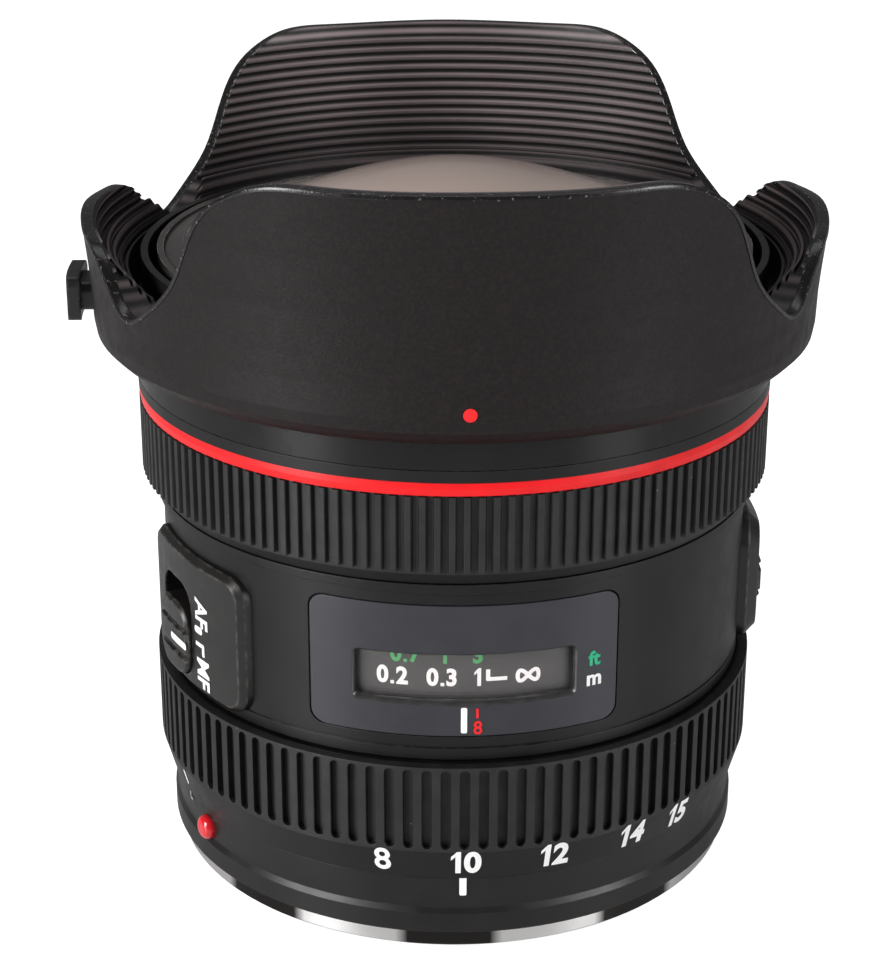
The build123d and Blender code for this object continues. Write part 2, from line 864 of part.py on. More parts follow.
# The dome's outline: shares of its edge radius and of its height above that edge
dome_shares = ((0.245, 0.0915), (0.489, 0.342), (0.734, 0.679), (1.0, 1.0))
z_dome = z_rim + dome_height
z_dome_edge = z_dome - dome_sag
z_shelf = z_dome_edge - dome_edge_depth
z_second = z_dome - second_drop
z_second_back = z_second - second_thick
z_third = z_second_back - third_drop
z_third_back = z_third - third_thick


def make_front_element():
    z_back = z_dome - dome_thick
    z_foot = z_back - sag(dome_back_curve, dome_back_rim)
    points = [(0, z_dome)] + [(front_edge * out, z_dome - dome_sag * down) for out, down in dome_shares]
    front = Spline(*points, tangents=[(1, 0), (1, dome_edge_slope)])
    side = Polyline((front_edge, z_dome_edge), (front_edge, z_shelf), (dome_neck_radius, z_shelf),
                    (dome_foot_radius, z_foot), (dome_back_rim, z_foot))
    back = surface(z_back, dome_back_curve, dome_back_rim)
    axis = Line((0, z_back), (0, z_dome))
    return revolve(Plane.XZ * make_face([front, side, back, axis]), Axis.Z)


def make_second_element():
    return glass(z_second, second_curve, second_edge, z_second_back, second_back_curve, second_back_rim,
                 second_edge)


def make_third_element():
    return glass(z_third, third_curve, third_edge, z_third_back, third_back_curve, third_back_rim,
                 third_edge)


# Front cell, its bezel and pins
cell_rise = 0.3
cell_floor_gap = 2.9
leg_foot = 1.7
cell_top = z_rim + cell_rise
cell_low = z_ledge_top + cell_floor_gap
rim_wall = 0.8
leg_half_angle = 12.0
leg_thick = 1.4
leg_low = z_front_pin - leg_foot
bezel_lip = 0.35
neck_clear = 0.6
floor_clear = 1.4
tube_wall = 1.0
lip_width = 0.9
lip_thick = 0.6
pin_seat = 2.5


def pins(height, azimuth, near, radius):
    """Three cam pins of one group."""
    return [rod(radius, near, pin_reach, height, a) for a in thirds(azimuth)]


def make_front_cell():
    z_foot = z_dome - dome_thick - sag(dome_back_curve, dome_back_rim)
    z_second_seat = z_second_back - sag(second_back_curve, second_back_rim)
    z_third_seat = z_third_back - sag(third_back_curve, third_back_rim)
    neck = dome_neck_radius + neck_clear
    cell = turned(
        (front_cell_radius, cell_low), (front_cell_radius, cell_top),
        (front_cell_radius - rim_wall, cell_top), (front_cell_radius - rim_wall, z_shelf), (neck, z_shelf),
        (neck, z_foot - floor_clear), (second_edge + seat_gap, z_foot - floor_clear),
        (second_edge + seat_gap, z_second_seat), (third_edge + seat_gap, z_second_seat),
        (third_edge + seat_gap, z_third_seat), (third_edge - lip_width, z_third_seat),
        (third_edge - lip_width, z_third_seat - lip_thick), (third_edge + tube_wall, z_third_seat - lip_thick),
        (third_edge + tube_wall, cell_low))
    for a in thirds(front_angle):
        cell = cell + sector(cell_radius - leg_thick, cell_radius, leg_low, cell_low + leg_thick, a,
                             leg_half_angle)
    for pin in pins(z_front_pin, front_angle, cell_radius - pin_seat, pin_radius + seat_gap):
        cell = cell - pin
    return cell


def make_front_retaining_ring():
    outer = front_cell_radius - rim_wall - seat_gap
    inner = front_edge + seat_gap
    return turned(
        (inner, z_shelf), (outer, z_shelf), (outer, cell_top - bezel_lip),
        (inner + bezel_lip, z_dome_edge), (inner, z_dome_edge))


def make_front_followers():
    return group(pins(z_front_pin, front_angle, cell_radius - leg_thick, pin_radius))


# Focus group
focus_cell_gap = 0.5
focus_cell_radius = cell_radius - leg_thick - focus_cell_gap
focus_cell_half = 1.7
focus_glass_radius = 11.0
focus_front_curve = 40.0
focus_joint_curve = -30.0
focus_back_curve = -60.0
focus_glass_rise = 1.6
focus_front_thick = 4.4
focus_back_thick = 2.0
z_focus_glass = z_focus_pin + focus_glass_rise
z_focus_joint = z_focus_glass - focus_front_thick
z_focus_glass_back = z_focus_joint - focus_back_thick


def make_focus_cell():
    low = z_focus_pin - focus_cell_half
    high = z_focus_pin + focus_cell_half
    narrow = focus_glass_radius - lip_width
    z_lip = z_focus_glass_back - sag(focus_back_curve, narrow)
    cell = turned(
        (focus_glass_radius + seat_gap, z_lip), (narrow, z_lip), (narrow, z_lip - lip_thick),
        (focus_glass_radius + tube_wall, z_lip - lip_thick),
        (focus_glass_radius + tube_wall, low), (focus_cell_radius, low), (focus_cell_radius, high),
        (focus_glass_radius + seat_gap, high))
    for pin in pins(z_focus_pin, sixth_turn, focus_cell_radius - pin_seat, pin_radius + seat_gap):
        cell = cell - pin
    return cell


def make_focus_element_front():
    return glass(z_focus_glass, focus_front_curve, focus_glass_radius, z_focus_joint, focus_joint_curve,
                 focus_glass_radius, focus_glass_radius)


def make_focus_element_rear():
    return glass(z_focus_joint - seat_gap, focus_joint_curve, focus_glass_radius, z_focus_glass_back,
                 focus_back_curve, focus_glass_radius - lip_width, focus_glass_radius)


def make_focus_followers():
    return group(pins(z_focus_pin, sixth_turn, focus_cell_radius - pin_seat + seat_gap, pin_radius))


# Middle group
middle_half = 2.4
middle_glass_radius = 12.0
middle_curve = 40.0
middle_glass_rise = 3.4
middle_thick = 3.2
z_middle_glass = z_middle_pin + middle_glass_rise


def make_middle_cell():
    low = z_middle_pin - middle_half
    narrow = middle_glass_radius - lip_width
    z_lip = z_middle_glass - middle_thick - sag(middle_curve, narrow)
    cell = turned(
        (middle_glass_radius + seat_gap, z_lip), (narrow, z_lip), (narrow, low), (cell_radius, low),
        (cell_radius, z_middle_pin + middle_half),
        (middle_glass_radius + seat_gap, z_middle_pin + middle_half))
    for pin in pins(z_middle_pin, front_angle, cell_radius - pin_seat, pin_radius + seat_gap):
        cell = cell - pin
    return cell


def make_middle_element():
    return glass(z_middle_glass, -middle_curve, middle_glass_radius, z_middle_glass - middle_thick,
                 middle_curve, middle_glass_radius - lip_width, middle_glass_radius)


def make_middle_followers():
    return group(pins(z_middle_pin, front_angle, cell_radius - pin_seat + seat_gap, pin_radius))


# Rear group, with the iris on top of it
rear_cell_drop = 2.5
rear_cell_rise = 1.8
rear_glass_inset = 0.3
rear_glass_drop = 3.8
rear_cell_low = z_rear_pin - rear_cell_drop
rear_cell_high = z_rear_pin + rear_cell_rise
rear_tube_radius = 15.0
rear_glass_radius = 12.0
rear_tube_length = 11.5
rear_front_curve = 28.0
rear_front_back_curve = -84.0
rear_back_curve = 44.0
rear_last_curve = -40.0
rear_front_thick = 4.2
rear_back_thick = 5.0
rear_rim = rear_glass_radius - lip_width
z_rear_front = rear_cell_high - rear_glass_inset
z_rear_back = rear_cell_low - rear_glass_drop


def make_rear_cell():
    tube_low = rear_cell_low - rear_tube_length
    z_front_seat = z_rear_front - rear_front_thick - sag(rear_front_back_curve, rear_rim)
    z_back_seat = z_rear_back - rear_back_thick - sag(rear_last_curve, rear_rim)
    bore = rear_glass_radius + seat_gap
    cell = turned(
        (bore, rear_cell_high), (bore, z_front_seat), (rear_rim, z_front_seat), (rear_rim, z_rear_back),
        (bore, z_rear_back), (bore, z_back_seat), (rear_rim, z_back_seat), (rear_rim, tube_low),
        (rear_tube_radius, tube_low), (rear_tube_radius, rear_cell_low), (cell_radius, rear_cell_low),
        (cell_radius, rear_cell_high))
    for pin in pins(z_rear_pin, front_angle, cell_radius - pin_seat, pin_radius + seat_gap):
        cell = cell - pin
    return cell


def make_rear_element_front():
    return glass(z_rear_front, rear_front_curve, rear_rim, z_rear_front - rear_front_thick,
                 rear_front_back_curve, rear_rim, rear_glass_radius)


def make_rear_element_rear():
    return glass(z_rear_back, rear_back_curve, rear_rim, z_rear_back - rear_back_thick, rear_last_curve,
                 rear_rim, rear_glass_radius)


def make_rear_followers():
    return group(pins(z_rear_pin, front_angle, cell_radius - pin_seat + seat_gap, pin_radius))


# Iris: housing, drive ring and seven blades
blade_count = 7
iris_aperture = 9.3
iris_radius = 28.5
iris_wall = 1.0
iris_floor = 0.6
iris_height = 3.8
iris_ring_bore = 19.5
iris_ring_gap = 0.1
iris_ring_thick = 0.6
blade_inner = 9.6
blade_outer = 14.4
blade_sweep = 100.0
blade_pivot = 17.0
blade_drive = 22.0
blade_thick = 0.12
blade_pitch = 0.2
blade_low = 1.65
blade_arm = 3.0
post_radius = 0.6
drive_radius = 0.5
drive_slack = 0.18
drive_slot_length = 2.6
post_top_gap = 0.1
z_iris = rear_cell_high


def blade_azimuth(index):
    return 360 / blade_count * index


def make_iris_housing():
    housing = turned(
        (iris_aperture, z_iris), (iris_radius, z_iris), (iris_radius, z_iris + iris_height),
        (iris_radius - iris_wall, z_iris + iris_height), (iris_radius - iris_wall, z_iris + iris_floor),
        (iris_aperture, z_iris + iris_floor))
    top = z_iris + blade_low + blade_pitch * blade_count + post_top_gap
    for i in range(blade_count):
        housing = housing + post(post_radius, z_iris + iris_floor / 2, top, blade_pivot, blade_azimuth(i))
    return housing


def make_iris_ring():
    low = z_iris + iris_floor + iris_ring_gap
    ring = tube(iris_ring_bore, iris_radius - iris_wall - run_gap, low, low + iris_ring_thick)
    slot = SlotOverall(drive_slot_length, 2 * (drive_radius + drive_slack))
    slot_middle = blade_drive - drive_radius / 2
    for i in range(blade_count):
        cutter = Pos(slot_middle, 0, low - overrun) * extrude(slot, iris_ring_thick + 2 * overrun)
        ring = ring - at(blade_azimuth(i)) * cutter
    return ring


def make_iris_blade(index):
    low = z_iris + blade_low + blade_pitch * index
    azimuth = blade_azimuth(index)
    middle = (blade_inner + blade_outer) / 2
    band = sector(blade_inner, blade_outer, low, low + blade_thick, azimuth + blade_sweep / 2,
                  blade_sweep / 2)
    end = post((blade_outer - blade_inner) / 2, low, low + blade_thick, middle, azimuth + blade_sweep)
    arm = Pos((middle + blade_drive) / 2, 0, low) * extrude(
        SlotOverall(blade_drive - middle + blade_arm, blade_arm), blade_thick)
    blade = band + end + at(azimuth) * arm
    blade = blade - post(post_radius + run_gap, low - overrun, low + overrun, blade_pivot, azimuth)
    pin_low = z_iris + iris_floor + iris_ring_gap + iris_ring_gap / 2
    return blade + post(drive_radius, pin_low, low + blade_thick / 2, blade_drive, azimuth)


# Hood: petal shell with inner ribs and bayonet lugs, and its lock button
hood_foot_reach = 1.6
hood_foot_radius = nose_radius + hood_foot_reach
hood_lug_reach = 0.3
hood_lug_radius = nose_radius + hood_lug_reach
hood_lug_low = 1.3
hood_lug_height = 1.7
hood_lug_root = 0.3
hood_top_reach = 7.6
hood_top_radius = hood_foot_radius + hood_top_reach
hood_waist_reach = 5.0
hood_waist_radius = hood_foot_radius + hood_waist_reach
hood_waist_height = 13.3
# The hood's outside: shares of the way from its foot radius to its top radius, and of its height
hood_outer_shares = (
    (0.25, 0.014), (0.41, 0.044), (0.54, 0.079), (0.572, 0.13), (0.586, 0.25), (0.618, 0.352),
    (0.658, 0.454), (0.684, 0.522), (0.803, 0.727), (1.0, 1.0))
hood_wall = 1.8
hood_cap = 2.0
hood_flare = 0.19
rib_top_drop = 1.7
rib_pitch = 1.21
rib_count = 13
rib_depth = 0.5
# Where a rib's face ends, its groove starts and its groove ends: shares of the pitch
rib_shares = (0.45, 0.55, 0.85)
shelf_ribs = 4
shelf_step = 0.72
# Where a shelf rib's groove ends, its land starts and its land ends: shares of the step
shelf_shares = (0.4, 0.5, 0.9)
shelf_drop = 0.85
shelf_rib_height = 0.5
shelf_lip = 0.15
shelf_inner = hood_foot_radius - shelf_lip
shelf_low = 8.9
petal_depth = 20.6
# A quarter of the petals' edge: azimuth from the front petal's middle, and share of the petal depth
petal_shares = (
    (0, 0), (20, 0.0024), (27.5, 0.0146), (33.2, 0.097), (36.9, 0.194), (41, 0.388), (44, 0.583),
    (48.5, 0.777), (53, 0.898), (60, 1), (65, 0.888), (68.5, 0.765), (76, 0.685), (90, 0.65))
lock_azimuth = -90.0
lock_low = 2.4
lock_high = 8.0
lock_half = 4.5
lock_corner = 1.2
lock_stand = 5.9
lock_near = hood_foot_radius + lock_stand
lock_thick = 1.6
lock_far = lock_near + lock_thick
lock_stem_half = 3.4
lock_stem_inset = 1.0
lock_stem_reach = 0.4
lock_stem_near = hood_foot_radius + lock_stem_reach
lock_gap = 0.2
lock_groove = 0.8
lock_groove_depth = 0.3


def hood_section():
    """The hood's wall section, a little taller than its highest petal."""
    reach = hood_top_radius - hood_foot_radius
    cap_radius = hood_top_radius + hood_flare * hood_cap
    outer = [(hood_foot_radius, z_hood)]
    outer += [(hood_foot_radius + reach * out, z_hood + hood_height * up) for out, up in hood_outer_shares]
    outer.append((cap_radius, z_hood_top + hood_cap))
    inner = [(cap_radius - hood_wall, z_hood_top + hood_cap)]
    slope = (hood_top_radius - hood_waist_radius) / (hood_height - hood_waist_height)
    face_end, groove_start, groove_end = [rib_pitch * share for share in rib_shares]
    for i in range(rib_count):
        drop = rib_top_drop + rib_pitch * i
        top = z_hood_top - drop
        radius = hood_top_radius - hood_wall - drop * slope
        inner += [(radius, top), (radius, top - face_end), (radius + rib_depth, top - groove_start),
                  (radius + rib_depth, top - groove_end)]
    shelf_top = z_hood + shelf_low + shelf_ribs * shelf_drop
    floor_end, land_start, land_end = [shelf_step * share for share in shelf_shares]
    for i in range(shelf_ribs):
        outside = shelf_inner + (shelf_ribs - i) * shelf_step
        level = shelf_top - i * shelf_drop
        inner += [(outside, level - shelf_rib_height), (outside - floor_end, level - shelf_rib_height),
                  (outside - land_start, level), (outside - land_end, level)]
    inner += [(shelf_inner, z_hood + shelf_low), (hood_foot_radius, z_hood + shelf_low - shelf_drop)]
    return outer + inner


def petal_edge(radius):
    """A quarter of the hood's petal edge, as a curve at one radius."""
    points = [at_point(radius, azimuth, z_hood_top - petal_depth * share)
              for azimuth, share in petal_shares]
    parameters = [azimuth / petal_shares[-1][0] for azimuth, share in petal_shares]
    run = radius * pi / 2
    tangents = [(run, 0, 0), (0, run, 0)]
    return Edge.make_spline(points, tangents=tangents, parameters=parameters, scale=False)


def at_point(radius, azimuth, height):
    angle = radians(azimuth - 90)
    return Vector(radius * cos(angle), radius * sin(angle), height)


def hood_quarter():
    """A quarter of the hood, cut along its petal edge."""
    cut_near = min(shelf_inner, 2 * hood_waist_radius - hood_top_radius - hood_wall) - overrun
    cut_far = hood_top_radius + hood_flare * hood_cap + overrun
    outline = Polyline(*hood_section(), close=True)
    wall = Rot(0, 0, -90) * revolve(Plane.XZ * make_face(outline), Axis.Z, 90)
    cut = Face.make_surface_from_curves(petal_edge(cut_near), petal_edge(cut_far))
    pieces = split(wall, bisect_by=cut, keep=Keep.BOTH).solids()
    return max(pieces, key=lambda piece: piece.volume)


def make_hood_shell():
    quarter = hood_quarter()
    half = quarter + mirror(quarter, Plane.YZ)
    hood = half + mirror(half, Plane.XZ)
    for a in thirds(front_angle):
        hood = hood + sector(hood_lug_radius, hood_foot_radius + hood_lug_root, z_hood + hood_lug_low,
                             z_hood + hood_lug_low + hood_lug_height, a, hood_lug_half_angle)
    stem_hole = block(hood_lug_radius, lock_far, -lock_stem_half - lock_gap, lock_stem_half + lock_gap,
                      z_hood + lock_low + lock_stem_inset - lock_gap,
                      z_hood + lock_high - lock_stem_inset + lock_gap, lock_corner)
    return hood - at(lock_azimuth) * stem_hole


def make_hood_lock_button():
    low = z_hood + lock_low
    high = z_hood + lock_high
    ring = tube(lock_near, lock_far, low - overrun, high + overrun)
    plate = ring & block(0, lock_far + overrun, -lock_half, lock_half, low, high, lock_corner)
    stem = block(lock_stem_near, (lock_near + lock_far) / 2, -lock_stem_half, lock_stem_half,
                 low + lock_stem_inset, high - lock_stem_inset, lock_corner)
    button = plate + stem
    middle = (low + high) / 2
    for i in (-1, 0, 1):
        groove = Box(2 * lock_groove_depth, 2 * lock_stem_half, lock_groove)
        button = button - Pos(lock_far, 0, middle + i * 2 * lock_groove) * groove
    return at(lock_azimuth) * button


# Write one file per piece
makers = {
    "mount_ring": make_mount_ring, "mount_screws": make_mount_screws, "contact_block": make_contact_block,
    "contact_pins": make_contact_pins, "rear_baffle": make_rear_baffle,
    "gel_filter_holder": make_gel_filter_holder, "rear_barrel": make_rear_barrel,
    "mount_index_dot": make_mount_index_dot, "guide_barrel": make_guide_barrel,
    "guide_screws": make_guide_screws, "circuit_board": make_circuit_board, "body_barrel": make_body_barrel,
    "window_panel": make_window_panel, "window_glass": make_window_glass,
    "af_switch_block": make_af_switch_block, "limit_switch_block": make_limit_switch_block,
    "trim_ring": make_trim_ring, "front_barrel": make_front_barrel, "red_ring": make_red_ring,
    "name_ring": make_name_ring, "motor_stator": make_motor_stator, "motor_rotor": make_motor_rotor,
    "zoom_ring": make_zoom_ring, "zoom_grip": make_zoom_grip, "zoom_cam_barrel": make_zoom_cam_barrel,
    "zoom_key": make_zoom_key, "focus_ring": make_focus_ring, "focus_grip": make_focus_grip,
    "scale_drum": make_scale_drum, "focus_cam_ring": make_focus_cam_ring, "focus_cell": make_focus_cell,
    "focus_element_front": make_focus_element_front, "focus_element_rear": make_focus_element_rear,
    "focus_followers": make_focus_followers, "front_cell": make_front_cell,
    "front_retaining_ring": make_front_retaining_ring, "front_element": make_front_element,
    "second_element": make_second_element, "third_element": make_third_element,
    "front_followers": make_front_followers, "middle_cell": make_middle_cell,
    "middle_element": make_middle_element, "middle_followers": make_middle_followers,
    "rear_cell": make_rear_cell, "rear_element_front": make_rear_element_front,
    "rear_element_rear": make_rear_element_rear, "rear_followers": make_rear_followers,
    "iris_housing": make_iris_housing, "iris_ring": make_iris_ring,
    "af_switch_slider": make_af_switch_slider, "limit_switch_slider": make_limit_switch_slider,
    "hood_shell": make_hood_shell, "hood_lock_button": make_hood_lock_button,
}

os.makedirs("parts", exist_ok=True)
for name, maker in makers.items():
    export_step(maker(), "parts/" + name + ".step")
for index in range(blade_count):
    export_step(make_iris_blade(index), "parts/iris_blade_" + str(index + 1) + ".step")
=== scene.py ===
from math import cos, pi, radians, sin

import bmesh
import bpy
import numpy as np
from mathutils import Matrix, Vector


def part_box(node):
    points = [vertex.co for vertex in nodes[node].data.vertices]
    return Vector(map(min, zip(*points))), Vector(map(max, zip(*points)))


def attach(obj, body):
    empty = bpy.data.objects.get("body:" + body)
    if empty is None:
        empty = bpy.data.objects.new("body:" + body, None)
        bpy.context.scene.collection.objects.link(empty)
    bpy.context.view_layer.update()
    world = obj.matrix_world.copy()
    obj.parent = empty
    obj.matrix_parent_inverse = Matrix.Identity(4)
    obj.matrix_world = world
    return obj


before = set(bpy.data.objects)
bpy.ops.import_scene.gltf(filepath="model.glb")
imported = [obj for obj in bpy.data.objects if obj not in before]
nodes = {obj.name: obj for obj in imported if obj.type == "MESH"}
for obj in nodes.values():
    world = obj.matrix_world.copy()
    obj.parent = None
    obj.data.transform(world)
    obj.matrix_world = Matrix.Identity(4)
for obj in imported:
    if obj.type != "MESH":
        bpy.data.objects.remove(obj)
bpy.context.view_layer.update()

mm = 0.001

# The camera, fitted to the photograph
camera_place = (-10.75 * mm, -275.19 * mm, 159.1 * mm)
camera_pitch = 68.05
camera_heading = -2.0
camera_roll = 0.18
camera_lens = 86.18
sensor_height = 36.0
shift_across = -0.0019


# Materials

class Shader:
    """A material with one Principled shader, and short calls that add detail to it."""

    def __init__(self, name, color, rough, metallic=0.0, ior=1.5):
        self.material = bpy.data.materials.new(name)
        self.material.use_nodes = True
        self.tree = self.material.node_tree
        self.shader = self.tree.nodes["Principled BSDF"]
        self.place = self.node("ShaderNodeTexCoord").outputs["Object"]
        self.color = color
        self.shader.inputs["Base Color"].default_value = (*color, 1)
        self.shader.inputs["Roughness"].default_value = rough
        self.shader.inputs["Metallic"].default_value = metallic
        self.shader.inputs["IOR"].default_value = ior
        self.normal = None

    def node(self, kind, **values):
        made = self.tree.nodes.new(kind)
        for key, value in values.items():
            setattr(made, key, value)
        return made

    def link(self, source, target):
        self.tree.links.new(source, target)

    def noise(self, size, detail=3.0):
        """Noise whose features are about this long, in metres."""
        made = self.node("ShaderNodeTexNoise")
        self.link(self.place, made.inputs["Vector"])
        made.inputs["Scale"].default_value = 1 / size
        made.inputs["Detail"].default_value = detail
        return made.outputs["Fac"]

    def ramp(self, source, low, high, first=0.0, last=1.0):
        """The source's stretch from low to high, spread from first to last."""
        made = self.node("ShaderNodeMapRange")
        self.link(source, made.inputs["Value"])
        for key, value in (("From Min", low), ("From Max", high), ("To Min", first), ("To Max", last)):
            made.inputs[key].default_value = value
        return made.outputs["Result"]

    def times(self, a, b):
        made = self.node("ShaderNodeMath", operation="MULTIPLY")
        self.link(a, made.inputs[0])
        if isinstance(b, float):
            made.inputs[1].default_value = b
        else:
            self.link(b, made.inputs[1])
        return made.outputs[0]

    def tint(self, color, mask):
        """Paints a colour where the mask is 1, over what is there."""
        mix = self.node("ShaderNodeMix", data_type="RGBA")
        base = self.shader.inputs["Base Color"]
        if base.is_linked:
            self.link(base.links[0].from_socket, mix.inputs["A"])
        else:
            mix.inputs["A"].default_value = (*self.color, 1)
        mix.inputs["B"].default_value = (*color, 1)
        self.link(mask, mix.inputs["Factor"])
        self.link(mix.outputs["Result"], base)
        return self

    def mottle(self, color, size, low=0.35, high=0.7):
        """Slow colour variation."""
        return self.tint(color, self.ramp(self.noise(size), low, high))

    def vary_rough(self, low, high, size):
        self.link(self.ramp(self.noise(size), 0.3, 0.7, low, high), self.shader.inputs["Roughness"])
        return self

    def soften(self, radius):
        """Rounds what the light sees of sharp edges."""
        made = self.node("ShaderNodeBevel", samples=4)
        made.inputs["Radius"].default_value = radius
        self.normal = made.outputs["Normal"]
        self.link(self.normal, self.shader.inputs["Normal"])
        return self

    def wear(self, color, amount, size):
        """Rubbed edges, broken up by noise."""
        geometry = self.node("ShaderNodeNewGeometry")
        dot = self.node("ShaderNodeVectorMath", operation="DOT_PRODUCT")
        self.link(self.normal, dot.inputs[0])
        self.link(geometry.outputs["Normal"], dot.inputs[1])
        edge = self.ramp(dot.outputs["Value"], 0.995, 0.86)
        broken = self.ramp(self.noise(size, 5.0), 0.42, 0.62)
        return self.tint(color, self.times(self.times(edge, broken), amount))

    def grain(self, size, depth, detail=2.0):
        """Fine surface relief, in metres."""
        bump = self.node("ShaderNodeBump")
        bump.inputs["Distance"].default_value = depth
        self.link(self.noise(size, detail), bump.inputs["Height"])
        if self.normal:
            self.link(self.normal, bump.inputs["Normal"])
        self.normal = bump.outputs["Normal"]
        self.link(self.normal, self.shader.inputs["Normal"])
        return self

    def dust(self, color, spacing, radius, amount):
        """Sparse specks of dust."""
        cells = self.node("ShaderNodeTexVoronoi")
        self.link(self.place, cells.inputs["Vector"])
        cells.inputs["Scale"].default_value = 1 / spacing
        speck = self.ramp(cells.outputs["Distance"], radius / spacing, radius / spacing * 0.4)
        some = self.ramp(self.noise(spacing * 4), 0.55, 0.6)
        return self.tint(color, self.times(self.times(speck, some), amount))

    def across(self, low, high, axis):
        """A mask that rises from low to high along an axis, in metres."""
        parts = self.node("ShaderNodeSeparateXYZ")
        self.link(self.place, parts.inputs[0])
        return self.ramp(parts.outputs[axis], low, high)

    def math(self, operation, a, b):
        made = self.node("ShaderNodeMath", operation=operation)
        self.link(a, made.inputs[0])
        made.inputs[1].default_value = b
        return made.outputs[0]

    def stripes(self, start, pitch):
        """A wave of bands down the Z axis: 1 in the middle of each band, 0 between them."""
        parts = self.node("ShaderNodeSeparateXYZ")
        self.link(self.place, parts.inputs[0])
        turns = self.math("MULTIPLY", self.math("SUBTRACT", parts.outputs["Z"], start), 1 / pitch)
        return self.ramp(self.math("PINGPONG", turns, 0.5), 0.1, 0.42)

    def around(self, count, start):
        """A wave round the Z axis: its peaks are this many, the first at a share of the pitch."""
        angle = self.node("ShaderNodeTexGradient", gradient_type="RADIAL")
        self.link(self.place, angle.inputs["Vector"])
        turns = self.math("ADD", self.math("MULTIPLY", angle.outputs["Fac"], count), start)
        return self.math("PINGPONG", turns, 0.5)

    def faces_in(self):
        """A mask of the faces that look towards the axis."""
        flat = self.node("ShaderNodeVectorMath", operation="MULTIPLY")
        flat.inputs[1].default_value = (1, 1, 0)
        self.link(self.place, flat.inputs[0])
        out = self.node("ShaderNodeVectorMath", operation="NORMALIZE")
        self.link(flat.outputs["Vector"], out.inputs[0])
        geometry = self.node("ShaderNodeNewGeometry")
        dot = self.node("ShaderNodeVectorMath", operation="DOT_PRODUCT")
        self.link(out.outputs["Vector"], dot.inputs[0])
        self.link(geometry.outputs["True Normal"], dot.inputs[1])
        return self.ramp(dot.outputs["Value"], 0.3, 0.2)

    # Makes the surface glow: painted light, since it is no lamp.
    def glow(self, color, strength):
        self.shader.inputs["Emission Color"].default_value = (*color, 1)
        self.shader.inputs["Emission Strength"].default_value = strength
        return self

    def coat(self, weight, rough):
        self.shader.inputs["Coat Weight"].default_value = weight
        self.shader.inputs["Coat Roughness"].default_value = rough
        return self


dust_grey = (0.35, 0.32, 0.28)


def barrel_finish(name, base, patches, rubbed, ior):
    """Satin black paint of the barrels, a little rubbed and dusty."""
    return (Shader(name, base, 0.36, 0.0, ior).mottle(patches, 6 * mm)
            .vary_rough(0.32, 0.42, 3 * mm).soften(0.16 * mm).wear(rubbed, 0.35, 0.8 * mm)
            .grain(0.16 * mm, 0.01 * mm).dust(dust_grey, 2.6 * mm, 0.07 * mm, 0.5)).material


barrel_black = barrel_finish("barrel_black", (0.0052, 0.0046, 0.0048), (0.0085, 0.0074, 0.0076),
                             (0.1, 0.09, 0.085), 1.4)
band_black = (Shader("band_black", (0.005, 0.0046, 0.0046), 0.24, 0.0, 1.38)
              .mottle((0.008, 0.0072, 0.0072), 5 * mm).vary_rough(0.2, 0.3, 4 * mm).soften(0.14 * mm)
              .wear((0.12, 0.11, 0.1), 0.4, 0.8 * mm)
              .dust(dust_grey, 3 * mm, 0.07 * mm, 0.5)).material
rear_black = barrel_finish("rear_black", (0.0085, 0.0076, 0.0076), (0.0125, 0.011, 0.011),
                           (0.12, 0.11, 0.105), 1.42)
hood_shader = (Shader("hood_black", (0.0055, 0.0036, 0.0038), 0.44, 0.0, 1.37)
               .mottle((0.0125, 0.0078, 0.0082), 0.45 * mm, 0.4, 0.68)
               .vary_rough(0.4, 0.54, 2 * mm).grain(0.3 * mm, 0.028 * mm, 4.0)
               .dust(dust_grey, 4 * mm, 0.08 * mm, 0.55))
hood_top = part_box("hood_shell")[1][2]
rib_drop = 1.7 * mm
rib_pitch = 1.21 * mm
inside = hood_shader.faces_in()
hood_shader.tint((0.006, 0.005, 0.005), inside)
# Painted highlight: pinkish-grey bands on the hood's inner ridges, where light catches them, broken up by
# slow noise and fading out lower down inside the hood.
rib_highlight_bands = hood_shader.stripes(hood_top - rib_drop, rib_pitch)
highlight_patches = hood_shader.ramp(hood_shader.noise(22 * mm, 1.0), 0.3, 0.65, 0.35, 1.0)
fade = hood_shader.ramp(hood_shader.across(hood_top - 20 * mm, hood_top - 11 * mm, "Z"), 0, 1, 0.2, 1.0)
hood_shader.tint((0.27, 0.215, 0.222),
                 hood_shader.times(hood_shader.times(rib_highlight_bands, highlight_patches), hood_shader.times(inside, fade)))
hood_black = hood_shader.material
rubber = (Shader("grip_rubber", (0.0105, 0.0102, 0.0105), 0.5).mottle((0.018, 0.017, 0.017), 3 * mm)
          .vary_rough(0.42, 0.58, 2 * mm).soften(0.15 * mm).grain(0.12 * mm, 0.012 * mm)
          .dust((0.45, 0.38, 0.28), 1.5 * mm, 0.1 * mm, 0.8)).material
panel_slate = (Shader("panel_slate", (0.027, 0.0272, 0.0345), 0.34).mottle((0.033, 0.0333, 0.042), 4 * mm)
               .soften(0.12 * mm).grain(0.14 * mm, 0.008 * mm)
               .dust(dust_grey, 3 * mm, 0.06 * mm, 0.5)).material
switch_black = (Shader("switch_black", (0.0105, 0.0096, 0.0092), 0.3).mottle((0.015, 0.0135, 0.013), 3 * mm)
                .vary_rough(0.26, 0.38, 2 * mm).soften(0.45 * mm).wear((0.3, 0.27, 0.25), 0.6, 1.2 * mm)
                .grain(0.15 * mm, 0.008 * mm)).material
inner_black = (Shader("inner_black", (0.01, 0.01, 0.01), 0.45).mottle((0.016, 0.016, 0.016), 3 * mm)
               .soften(0.12 * mm).grain(0.2 * mm, 0.008 * mm)).material
bezel_grey = (Shader("bezel_grey", (0.06, 0.054, 0.052), 0.24).mottle((0.05, 0.047, 0.046), 3 * mm)
              .soften(0.2 * mm).wear((0.45, 0.42, 0.4), 1.0, 4 * mm).grain(0.2 * mm, 0.006 * mm)).material
chrome_shader = Shader("satin_chrome", (0.85, 0.84, 0.83), 0.16, 1.0)
